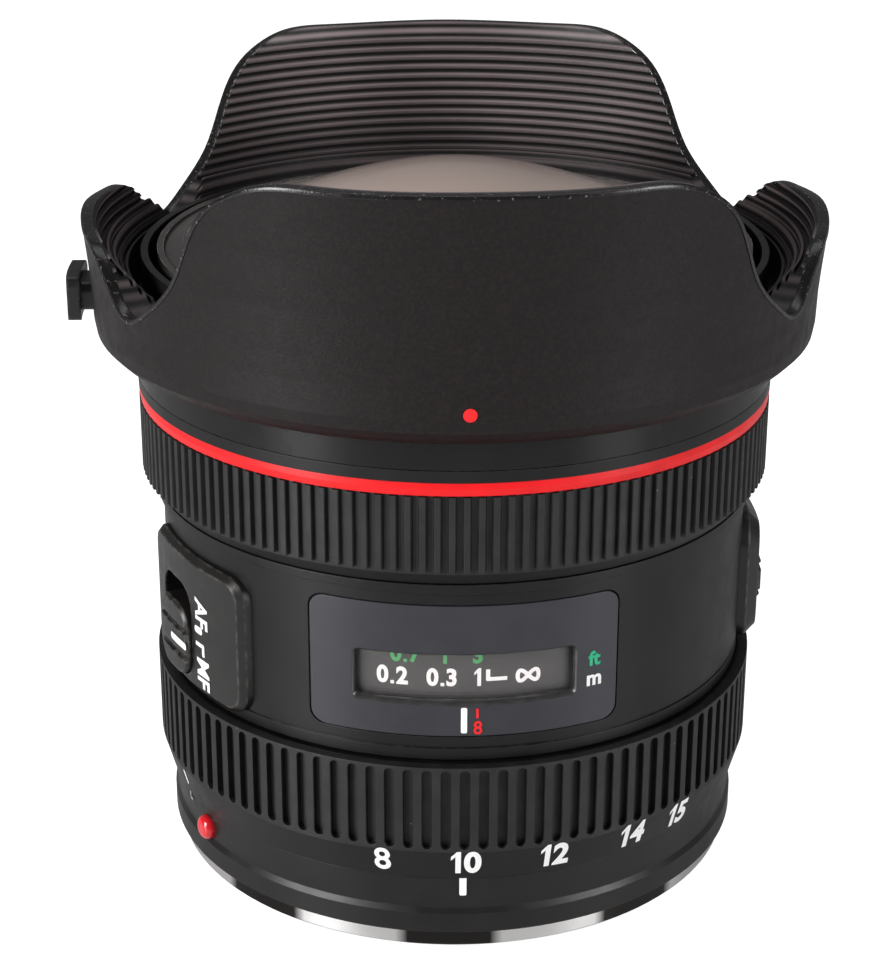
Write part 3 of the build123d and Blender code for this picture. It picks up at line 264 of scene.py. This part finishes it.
# Painted reflection: nine dark bands round the mount ring stand in for dark surroundings reflected in the
# chrome.
chrome_shader.tint((0.035, 0.033, 0.032), chrome_shader.ramp(chrome_shader.around(9, 0.82), 0.26, 0.2))
chrome = chrome_shader.vary_rough(0.1, 0.22, 1.5 * mm).soften(0.2 * mm).grain(0.3 * mm, 0.004 * mm).material
rim_black = (Shader("rim_black", (0.007, 0.006, 0.006), 0.28)
             .mottle((0.16, 0.15, 0.145), 0.4 * mm, 0.64, 0.69).vary_rough(0.16, 0.3, 1 * mm)
             .soften(0.18 * mm).wear((0.55, 0.52, 0.5), 0.9, 0.35 * mm)
             .grain(0.2 * mm, 0.012 * mm)).material
steel = (Shader("machined_steel", (0.5, 0.5, 0.52), 0.28, 1.0).vary_rough(0.2, 0.36, 0.4 * mm)
         .soften(0.08 * mm).grain(0.1 * mm, 0.004 * mm)).material
gold = Shader("contact_gold", (0.85, 0.62, 0.25), 0.2, 1.0).vary_rough(0.14, 0.28, 0.3 * mm).material
red_paint = (Shader("ring_red", (0.9, 0.008, 0.012), 0.3, 0.0, 1.4).mottle((0.78, 0.006, 0.009), 3 * mm)
             .soften(0.2 * mm).coat(0.15, 0.08).grain(0.2 * mm, 0.004 * mm)).material
red_bead = (Shader("bead_red", (0.85, 0.008, 0.02), 0.2).mottle((0.7, 0.006, 0.014), 1 * mm)
            .coat(1.0, 0.04)).material
board_green = (Shader("board_green", (0.01, 0.09, 0.04), 0.35).mottle((0.016, 0.12, 0.06), 1.2 * mm)
               .grain(0.5 * mm, 0.02 * mm)).material
blade_black = (Shader("blade_black", (0.02, 0.02, 0.02), 0.5).mottle((0.03, 0.03, 0.03), 2 * mm)
               .grain(0.1 * mm, 0.004 * mm)).material
drum_black = (Shader("drum_black", (0.012, 0.012, 0.012), 0.45).mottle((0.017, 0.017, 0.017), 2 * mm)
              .grain(0.12 * mm, 0.006 * mm)).material
# The white marks glow a little: painted light that brightens the white print.
glowing_white_paint = (Shader("mark_white", (0.92, 0.92, 0.91), 0.45).mottle((0.84, 0.84, 0.83), 0.5 * mm)
               .glow((1, 1, 1), 0.12)).material
# The distance scale's figures glow: painted light that brightens their white and green print behind the
# window.
drum_white_glowing = (Shader("drum_white_glowing", (0.92, 0.92, 0.91), 0.45).mottle((0.84, 0.84, 0.83), 0.5 * mm)
              .glow((1, 1, 1), 0.5)).material
drum_green_glowing = (Shader("drum_green_glowing", (0.04, 0.42, 0.1), 0.45).mottle((0.04, 0.36, 0.09), 0.5 * mm)
              .glow((0.05, 0.5, 0.14), 0.3)).material
faded_paint = (Shader("mark_faded", (0.4, 0.4, 0.4), 0.5)
               .mottle((0.12, 0.12, 0.12), 0.3 * mm, 0.4, 0.6)).material
red_mark = (Shader("mark_red", (0.9, 0.012, 0.016), 0.5).mottle((0.8, 0.01, 0.014), 0.5 * mm)).material
green_mark = (Shader("mark_green", (0.02, 0.5, 0.26), 0.45).mottle((0.02, 0.42, 0.22), 0.5 * mm)).material


def glass(name, color, rough, ior, tint):
    made = Shader(name, color, rough, 0.0, ior)
    made.shader.inputs["Transmission Weight"].default_value = 1.0
    made.shader.inputs["Specular Tint"].default_value = (*tint, 1)
    made.vary_rough(rough, rough + 0.02, 8 * mm)
    return made


# Painted reflection: the front element's pale beige colour stands in for the studio light reflected in the
# glass, and it is painted lighter towards the rim.
dome_shader = glass("dome_glass", (0.5, 0.4, 0.355), 0.06, 1.45, (1.0, 0.86, 0.82))
dome_shader.tint((0.74, 0.605, 0.54), dome_shader.across(88.8 * mm, 82.5 * mm, "Z"))
dome_shader.shader.inputs["Transmission Weight"].default_value = 0.1
dome_glass = dome_shader.coat(0.25, 0.03).material
lens_glass = glass("lens_glass", (0.85, 0.85, 0.86), 0.02, 1.6, (0.8, 1.0, 0.86)).material
window_shader = glass("window_clear", (0.97, 0.94, 0.94), 0.02, 1.45, (1.0, 1.0, 1.0))
window_shader.shader.inputs["Transmission Weight"].default_value = 0.965
window_clear = window_shader.material

finishes = {
    "mount_ring": chrome, "mount_screws": steel, "guide_screws": steel, "zoom_key": steel,
    "front_followers": steel, "middle_followers": steel, "rear_followers": steel, "focus_followers": steel,
    "motor_stator": steel, "motor_rotor": steel, "contact_pins": gold, "rear_barrel": rear_black,
    "body_barrel": barrel_black, "front_barrel": barrel_black, "name_ring": band_black,
    "trim_ring": barrel_black, "zoom_ring": barrel_black, "focus_ring": barrel_black,
    "guide_barrel": inner_black, "zoom_cam_barrel": inner_black, "focus_cam_ring": inner_black,
    "front_cell": bezel_grey, "front_retaining_ring": bezel_grey, "focus_cell": inner_black,
    "middle_cell": inner_black, "rear_cell": inner_black, "iris_housing": inner_black,
    "iris_ring": inner_black, "contact_block": inner_black, "rear_baffle": inner_black,
    "gel_filter_holder": inner_black, "scale_drum": drum_black, "hood_shell": hood_black,
    "hood_lock_button": switch_black, "af_switch_block": switch_black, "limit_switch_block": switch_black,
    "af_switch_slider": switch_black, "limit_switch_slider": switch_black, "window_panel": panel_slate,
    "window_glass": window_clear, "zoom_grip": rubber, "focus_grip": rubber, "red_ring": red_paint,
    "mount_index_dot": red_bead, "circuit_board": board_green, "front_element": dome_glass,
    "second_element": lens_glass, "third_element": lens_glass, "middle_element": lens_glass,
    "focus_element_front": lens_glass, "focus_element_rear": lens_glass,
    "rear_element_front": lens_glass, "rear_element_rear": lens_glass,
}
for name, piece in nodes.items():
    for place in piece.material_slots:
        place.material = finishes.get(name, blade_black)


# Marks: flat shapes laid on the object's curved and flat faces

def round_face(radius_at, azimuth, height, lift):
    """Where a flat mark's points go on a ring, whose radius is a function of height."""
    def place(x, y, z):
        level = height + y
        radius = radius_at(level) + lift + z
        angle = radians(azimuth) + x / radius_at(height)
        return Vector((radius * sin(angle), -radius * cos(angle), level))
    return place


def crowned_face(azimuth, distance, along, height, lift, quarter=0):
    """Where a flat mark's points go on a gently rounded face that looks along an azimuth."""
    angle = radians(azimuth)
    out = Vector((sin(angle), -cos(angle), 0))
    side = Vector((cos(angle), sin(angle), 0))
    turn = Matrix.Rotation(radians(90 * quarter), 2)

    def place(x, y, z):
        across, up = turn @ Vector((x, y))
        fall = face_crown - (face_crown ** 2 - (along + across) ** 2) ** 0.5
        return out * (distance - fall + lift + z) + side * (along + across) + Vector((0, 0, height + up))
    return place


def laid(name, mesh, place, material, body):
    """A mark from a flat mesh, bent onto its face, which rides on a body."""
    for vertex in mesh.vertices:
        vertex.co = place(*vertex.co)
    mesh.materials.clear()
    mesh.materials.append(material)
    piece = bpy.data.objects.new(name, mesh)
    bpy.context.collection.objects.link(piece)
    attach(piece, body)
    return piece


def smooth_piece(name, points, faces, material, body):
    """A smoothly shaded piece, which rides on a body."""
    mesh = bpy.data.meshes.new(name)
    mesh.from_pydata(points, [], faces)
    for polygon in mesh.polygons:
        polygon.use_smooth = True
    mesh.materials.append(material)
    piece = bpy.data.objects.new(name, mesh)
    bpy.context.collection.objects.link(piece)
    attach(piece, body)


mark_thick = 0.03 * mm
mark_lift = 0.03 * mm
face_crown = 45 * mm
cut_step = 0.4 * mm


def sliced(mesh):
    """Cuts a flat mesh into narrow columns, so that it bends smoothly."""
    work = bmesh.new()
    work.from_mesh(mesh)
    xs = [v.co.x for v in work.verts]
    x = min(xs) + cut_step
    while x < max(xs):
        everything = work.verts[:] + work.edges[:] + work.faces[:]
        bmesh.ops.bisect_plane(work, geom=everything, plane_co=(x, 0, 0), plane_no=(1, 0, 0))
        x += cut_step
    work.to_mesh(mesh)
    work.free()
    return mesh


def words(text, height, bold=0.0, stretch=1.0):
    """A flat mesh of text, centred, whose letters are this high."""
    curve = bpy.data.curves.new("words", "FONT")
    curve.body = text
    curve.offset = bold
    holder = bpy.data.objects.new("words", curve)
    bpy.context.collection.objects.link(holder)
    bpy.context.view_layer.update()
    mesh = bpy.data.meshes.new_from_object(holder.evaluated_get(bpy.context.evaluated_depsgraph_get()))
    bpy.data.objects.remove(holder)
    xs = [v.co.x for v in mesh.vertices]
    ys = [v.co.y for v in mesh.vertices]
    scale = height / (max(ys) - min(ys))
    for vertex in mesh.vertices:
        vertex.co.x = (vertex.co.x - (max(xs) + min(xs)) / 2) * scale * stretch
        vertex.co.y = (vertex.co.y - (max(ys) + min(ys)) / 2) * scale
        vertex.co.z = mark_thick
    return sliced(mesh)


def bar(width, height, corner):
    """A flat rounded bar, centred."""
    steps = 5
    points = []
    for i, (sx, sy) in enumerate(((1, 1), (-1, 1), (-1, -1), (1, -1))):
        for k in range(steps + 1):
            angle = radians(90 * i + 90 * k / steps)
            points.append((sx * (width / 2 - corner) + corner * cos(angle),
                           sy * (height / 2 - corner) + corner * sin(angle), mark_thick))
    mesh = bpy.data.meshes.new("bar")
    mesh.from_pydata(points, [], [list(range(len(points)))])
    return sliced(mesh)


# The figure 1: its outline in shares of its height and of its stroke
one_shares = ((0.5, -0.5), (0.5, 0.5), (-0.2, 0.5), (-1.3, 0.26), (-1.3, 0.1), (-0.5, 0.26), (-0.5, -0.5))
stroke_share = 0.19


def one(height):
    stroke = height * stroke_share
    mesh = bpy.data.meshes.new("one")
    mesh.from_pydata([(x * stroke, y * height, mark_thick) for x, y in one_shares], [],
                     [list(range(len(one_shares)))])
    return sliced(mesh)


def number(text, height, bold=0.04, stretch=0.9):
    """A flat mesh of a number, figure by figure, centred. The 8's small loops take less bold."""
    stroke = height * stroke_share
    work = bmesh.new()
    x = 0.0
    for figure in text:
        if figure == "1":
            part = one(height)
        elif figure == ".":
            part = bar(stroke, stroke, stroke * 0.2)
        else:
            part = words(figure, height, bold / 2 if figure == "8" else bold, stretch)
        xs = [v.co.x for v in part.vertices]
        for vertex in part.vertices:
            vertex.co.x += x - min(xs)
            if figure == ".":
                vertex.co.y -= (height - stroke) / 2
        x += max(xs) - min(xs) + stroke * 0.55
        work.from_mesh(part)
    middle = (x - stroke * 0.55) / 2
    for vertex in work.verts:
        vertex.co.x -= middle
    mesh = bpy.data.meshes.new("number")
    work.to_mesh(mesh)
    work.free()
    return mesh


body_radius = 36.8 * mm
panel_radius = 36.85 * mm
rear_radius = 36.9 * mm
drum_radius = 34.5 * mm
band_low_radius = 37.15 * mm
band_high_radius = 38.28 * mm
zoom_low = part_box("zoom_ring")[0][2]
grip_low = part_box("zoom_grip")[0][2]


def band_radius(height):
    share = (height - zoom_low) / (grip_low - zoom_low)
    return band_low_radius + share * (band_high_radius - band_low_radius)


def constant(radius):
    return lambda height: radius


numeral_height = 3.45 * mm
numeral_level = 15.35 * mm
for text, azimuth in (("8", -14.8), ("10", 0.3), ("12", 16.6), ("14", 32.9), ("15", 44.6)):
    laid("zoom_number_" + text, number(text, numeral_height),
         round_face(band_radius, azimuth, numeral_level, mark_lift), glowing_white_paint, "zoom")

rear_face = constant(rear_radius)
panel_face = constant(panel_radius)
drum_face = constant(drum_radius)


def ring_bars(rows):
    """Flat bars on the rings. Each row has its lengths and its level in mm, and its azimuth in degrees."""
    for name, width, height, corner, face, azimuth, level, paint, body in rows:
        laid(name, bar(width * mm, height * mm, corner * mm),
             round_face(face, azimuth, level * mm, mark_lift), paint, body)


ring_bars((
    ("zoom_tick", 0.5, 2.1, 0.2, band_radius, -64.5, 15.4, glowing_white_paint, "zoom"),
    ("rear_tick", 0.4, 1.3, 0.15, rear_face, -66.5, 12.2, faded_paint, "barrel"),
    ("rear_tick_foot", 0.9, 0.35, 0.1, rear_face, -66.0, 11.6, faded_paint, "barrel"),
    ("rear_index", 0.85, 2.6, 0.2, rear_face, -0.2, 11.55, glowing_white_paint, "barrel"),
    ("panel_index", 0.72, 3.3, 0.2, panel_face, -0.2, 33.65, glowing_white_paint, "barrel"),
    ("panel_red_tick", 0.3, 1.25, 0.08, panel_face, 2.2, 34.55, red_mark, "barrel")))
laid("panel_red_number", number("8", 1.75 * mm),
     round_face(panel_face, 2.3, 32.7 * mm, mark_lift), red_mark, "barrel")
unit_azimuth = 24.2
unit_bold = 0.035
laid("panel_unit_ft", words("ft", 1.9 * mm, unit_bold),
     round_face(panel_face, unit_azimuth, 39.9 * mm, mark_lift), green_mark, "barrel")
laid("panel_unit_m", words("m", 1.4 * mm, unit_bold),
     round_face(panel_face, unit_azimuth, 37.1 * mm, mark_lift), glowing_white_paint, "barrel")

metre_level = 38.15 * mm
metre_height = 2.3 * mm
foot_level = 41.0 * mm
foot_height = 2.2 * mm
for name, text, azimuth, level, height, paint in (
        ("scale_02", "0.2", -13.9, metre_level, metre_height, drum_white_glowing),
        ("scale_03", "0.3", -4.4, metre_level, metre_height, drum_white_glowing),
        ("scale_1", "1", 2.5, metre_level, metre_height, drum_white_glowing),
        ("scale_ft_07", "0.7", -11.3, foot_level, foot_height, drum_green_glowing),
        ("scale_ft_1", "1", -4.0, foot_level, foot_height, drum_green_glowing),
        ("scale_ft_3", "3", 2.5, foot_level, foot_height, drum_green_glowing)):
    laid(name, number(text, height), round_face(drum_face, azimuth, level, mark_lift), paint, "focus_cam")
ring_bars((
    ("scale_hook_stem", 0.48, 1.4, 0.05, drum_face, 4.5, 38.4, drum_white_glowing, "focus_cam"),
    ("scale_hook_bar", 2.4, 0.48, 0.05, drum_face, 6.2, 37.85, drum_white_glowing, "focus_cam")))


def infinity(width, height, stroke):
    """The endless sign, as a flat closed band."""
    count = 40
    points = []
    faces = []
    for i in range(count):
        t = 2 * pi * i / count
        middle = Vector((width / 2 * sin(t), height / 2 * sin(2 * t)))
        along = Vector((width / 2 * cos(t), height * cos(2 * t))).normalized()
        side = Vector((-along.y, along.x)) * stroke / 2
        for p in (middle + side, middle - side):
            points.append((p.x, p.y, mark_thick))
        a, b = 2 * i, 2 * ((i + 1) % count)
        faces.append((a, a + 1, b + 1, b))
    mesh = bpy.data.meshes.new("infinity")
    mesh.from_pydata(points, [], faces)
    return mesh


laid("scale_infinity", infinity(2.5 * mm, 1.35 * mm, 0.48 * mm),
     round_face(drum_face, 12.3, 38.0 * mm, mark_lift), drum_white_glowing, "focus_cam")

# The marks on the left switch block and its slider: all in mm, along the face and up
af_azimuth = -63.0
af_distance = 37.9 * mm
slider_out = 38.65 * mm
word_along = 5.3 * mm
for name, text, level in (("af_word", "AF", 40.5), ("mf_word", "MF", 32.4)):
    laid(name, words(text, 2.8 * mm, 0.03, 0.86),
         crowned_face(af_azimuth, af_distance, word_along, level * mm, mark_lift, -1),
         glowing_white_paint, "barrel")
for name, width, height, corner, distance, along, level, body in (
        ("af_dot", 1.8, 0.95, 0.4, af_distance, 4.5, 38.1, "barrel"),
        ("mf_hook_bar", 1.9, 0.55, 0.1, af_distance, 4.7, 36.2, "barrel"),
        ("mf_hook_stem", 0.55, 1.5, 0.1, af_distance, 5.5, 35.6, "barrel"),
        ("af_slider_mark", 4.6, 0.95, 0.4, slider_out, 0.25, 35.1, "af_switch")):
    laid(name, bar(width * mm, height * mm, corner * mm),
         crowned_face(af_azimuth, distance, along * mm, level * mm, mark_lift), glowing_white_paint, body)

hood_dot_radius = 44.27 * mm
laid("hood_dot", bar(1.55 * mm, 1.55 * mm, 0.77 * mm),
     round_face(constant(hood_dot_radius), 0.0, 73.9 * mm, 0.05 * mm), red_mark, "hood")


# The hood's rim: a smooth lip along the petals' edge, where the inner ridges end

hood_height = 29.3 * mm
hood_rest = hood_top - hood_height
hood_foot = 39.9 * mm
hood_reach = 7.6 * mm
lip_width = 1.4
petal_depth = 20.6 * mm
# The petals' edge over a quarter: degrees from a petal's middle, and share of the depth
petal_shares = (
    (0, 0), (20, 0.0024), (27.5, 0.0146), (33.2, 0.097), (36.9, 0.194), (41, 0.388), (44, 0.583),
    (48.5, 0.777), (53, 0.898), (60, 1), (65, 0.888), (68.5, 0.765), (76, 0.685), (90, 0.65))
# The hood's outside: shares of its reach and of its height
outer_shares = (
    (0.25, 0.014), (0.41, 0.044), (0.54, 0.079), (0.572, 0.13), (0.586, 0.25), (0.618, 0.352),
    (0.658, 0.454), (0.684, 0.522), (0.803, 0.727), (1.0, 1.0))


def smooth_curve(points):
    """A smooth curve through the points, level at both ends."""
    xs = np.array([x for x, y in points], float)
    ys = np.array([y for x, y in points], float)
    count = len(xs)
    gaps = np.diff(xs)
    rises = np.diff(ys) / gaps
    lines = np.zeros((count, count))
    aims = np.zeros(count)
    lines[0, 0] = lines[-1, -1] = 1
    for i in range(1, count - 1):
        lines[i, i - 1] = 1 / gaps[i - 1]
        lines[i, i] = 2 * (1 / gaps[i - 1] + 1 / gaps[i])
        lines[i, i + 1] = 1 / gaps[i]
        aims[i] = 3 * (rises[i - 1] / gaps[i - 1] + rises[i] / gaps[i])
    slopes = np.linalg.solve(lines, aims)

    def value(x):
        i = min(int(np.searchsorted(xs, x, "right")) - 1, count - 2)
        t = (x - xs[i]) / gaps[i]
        return (ys[i] * (1 + 2 * t) * (1 - t) ** 2 + slopes[i] * gaps[i] * t * (1 - t) ** 2
                + ys[i + 1] * t * t * (3 - 2 * t) + slopes[i + 1] * gaps[i] * t * t * (t - 1))
    return value


petal_drop = smooth_curve(petal_shares)


def hood_edge(degrees):
    """The point of the hood's outer edge at an azimuth."""
    folded = abs((degrees + 90) % 180 - 90)
    height = hood_top - petal_depth * petal_drop(folded)
    up = (height - hood_rest) / hood_height
    out = float(np.interp(up, [b for a, b in outer_shares], [a for a, b in outer_shares]))
    radius = hood_foot + hood_reach * out
    angle = radians(degrees)
    return Vector((radius * sin(angle), -radius * cos(angle), height))


def hood_lip():
    """A rounded lip swept along the hood's edge."""
    count = 720
    # The lip's section: how far in from the outside, and how far below the edge
    section = ((-0.04, 0.5), (-0.04, 0.12), (0.06, -0.02), (0.24, -0.06), (lip_width - 0.22, -0.06),
               (lip_width - 0.05, 0.0), (lip_width, 0.12), (lip_width, 0.3))
    points = []
    for i in range(count):
        degrees = 360 * i / count
        here = hood_edge(degrees)
        along = (hood_edge(degrees + 0.25) - hood_edge(degrees - 0.25)).normalized()
        inward = Vector((-here.x, -here.y, 0)).normalized()
        down = along.cross(inward).normalized()
        if down.z > 0:
            down = -down
        for inset, drop in section:
            points.append(here + inward * inset * mm + down * drop * mm)
    faces = []
    width = len(section)
    for i in range(count):
        a, b = i * width, (i + 1) % count * width
        for k in range(width - 1):
            faces.append((a + k, a + k + 1, b + k + 1, b + k))
    smooth_piece("hood_lip", points, faces, rim_black, "hood")


hood_lip()


# The window's bevelled frame

window_half_angle = 20.8


def window_frame():
    """A chamfer round the inside of the window, from the panel's face down to the glass."""
    low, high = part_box("window_glass")
    lap = 0.9 * mm
    half = body_radius * sin(radians(window_half_angle))
    bottom = low[2] + lap
    top = high[2] - lap
    corner = 0.9 * mm
    inset = 0.45 * mm
    steps = 6
    columns = 30
    rings = []
    for shrink, radius in ((0.0, panel_radius), (inset * 0.35, panel_radius - 0.1 * mm),
                           (inset, panel_radius - 0.75 * mm), (inset, panel_radius - 1.15 * mm)):
        ring = []
        for i, (sx, sy) in enumerate(((1, 1), (-1, 1), (-1, -1), (1, -1))):
            cx = sx * (half - corner)
            cy = (top if sy > 0 else bottom) - sy * corner
            for k in range(steps + 1):
                angle = radians(90 * i + 90 * k / steps)
                x = cx + (corner - shrink) * cos(angle)
                y = cy + (corner - shrink) * sin(angle)
                ring.append((x, y, radius))
            if i in (0, 2):
                for k in range(1, columns):
                    x = cx - 2 * cx * k / columns
                    ring.append((x, cy + sy * (corner - shrink), radius))
        rings.append(ring)
    count = len(rings[0])
    points = []
    for ring in rings:
        for x, y, radius in ring:
            depth = (radius ** 2 - x ** 2) ** 0.5
            points.append((x, -depth, y))
    faces = []
    for r in range(len(rings) - 1):
        for i in range(count):
            j = (i + 1) % count
            faces.append((r * count + i, r * count + j, (r + 1) * count + j, (r + 1) * count + i))
    smooth_piece("window_frame", points, faces, window_edge, "barrel")


window_edge = (Shader("window_edge", (0.03, 0.03, 0.031), 0.2).mottle((0.05, 0.048, 0.046), 1.5 * mm)
               .coat(0.5, 0.1)).material
window_frame()


# Studio

def studio():
    floor_mesh = bpy.data.meshes.new("floor")
    reach = 3.0
    corners = [(-reach, -reach, 0), (reach, -reach, 0), (reach, reach, 0), (-reach, reach, 0)]
    floor_mesh.from_pydata(corners, [], [(0, 1, 2, 3)])
    floor = bpy.data.objects.new("floor", floor_mesh)
    bpy.context.collection.objects.link(floor)
    material = bpy.data.materials.new("floor_white")
    material.use_nodes = True
    tree = material.node_tree
    shader = tree.nodes["Principled BSDF"]
    shader.inputs["Base Color"].default_value = (0.82, 0.82, 0.82, 1)
    shader.inputs["Roughness"].default_value = 0.35
    path = tree.nodes.new("ShaderNodeLightPath")
    glow = tree.nodes.new("ShaderNodeMath")
    glow.operation = "MULTIPLY"
    glow.inputs[1].default_value = floor_glow
    tree.links.new(path.outputs["Is Camera Ray"], glow.inputs[0])
    shader.inputs["Emission Color"].default_value = (1, 1, 1, 1)
    tree.links.new(glow.outputs[0], shader.inputs["Emission Strength"])
    floor_mesh.materials.append(material)

    world = bpy.data.worlds.new("studio")
    bpy.context.scene.world = world
    world.use_nodes = True
    tree = world.node_tree
    background = tree.nodes["Background"]
    path = tree.nodes.new("ShaderNodeLightPath")
    seen = tree.nodes.new("ShaderNodeMath")
    seen.operation = "MAXIMUM"
    tree.links.new(path.outputs["Is Camera Ray"], seen.inputs[0])
    tree.links.new(path.outputs["Is Transmission Ray"], seen.inputs[1])
    shiny = tree.nodes.new("ShaderNodeMath")
    shiny.operation = "MULTIPLY"
    shiny.inputs[1].default_value = glossy_world
    tree.links.new(path.outputs["Is Glossy Ray"], shiny.inputs[0])
    most = tree.nodes.new("ShaderNodeMath")
    most.operation = "MAXIMUM"
    tree.links.new(seen.outputs[0], most.inputs[0])
    tree.links.new(shiny.outputs[0], most.inputs[1])
    least = tree.nodes.new("ShaderNodeMath")
    least.operation = "MAXIMUM"
    least.inputs[1].default_value = diffuse_world
    tree.links.new(most.outputs[0], least.inputs[0])
    tree.links.new(least.outputs[0], background.inputs["Strength"])
    background.inputs["Color"].default_value = (1, 1, 1, 1)


def lamp(name, place, target, size, power):
    data = bpy.data.lights.new(name, "AREA")
    data.shape = "RECTANGLE"
    data.size, data.size_y = size
    data.energy = power
    piece = bpy.data.objects.new(name, data)
    bpy.context.collection.objects.link(piece)
    piece.location = place
    piece.rotation_euler = (Vector(target) - Vector(place)).to_track_quat("-Z", "Y").to_euler()


floor_glow = 0.85
glossy_world = 0.1
diffuse_world = 0.14
studio()
aim = (0, 0, 0.05)
lamp("key", (-0.72, -0.5, 0.35), aim, (0.3, 0.5), 8.4)
lamp("fill", (0.72, -0.5, 0.35), aim, (0.3, 0.5), 4.3)
lamp("top", (0.0, 0.35, 0.85), aim, (0.7, 0.4), 1.0)

camera_data = bpy.data.cameras.new("camera")
camera = bpy.data.objects.new("camera", camera_data)
bpy.context.collection.objects.link(camera)
turn = (Matrix.Rotation(radians(camera_heading), 4, "Z") @ Matrix.Rotation(radians(camera_pitch), 4, "X")
        @ Matrix.Rotation(radians(camera_roll), 4, "Z"))
camera.matrix_world = Matrix.Translation(camera_place) @ turn
camera_data.sensor_fit = "VERTICAL"
camera_data.sensor_height = sensor_height
camera_data.lens = camera_lens
camera_data.shift_x = shift_across
camera_data.clip_start = 0.01
bpy.context.scene.camera = camera
bpy.context.scene.view_settings.view_transform = "Standard"
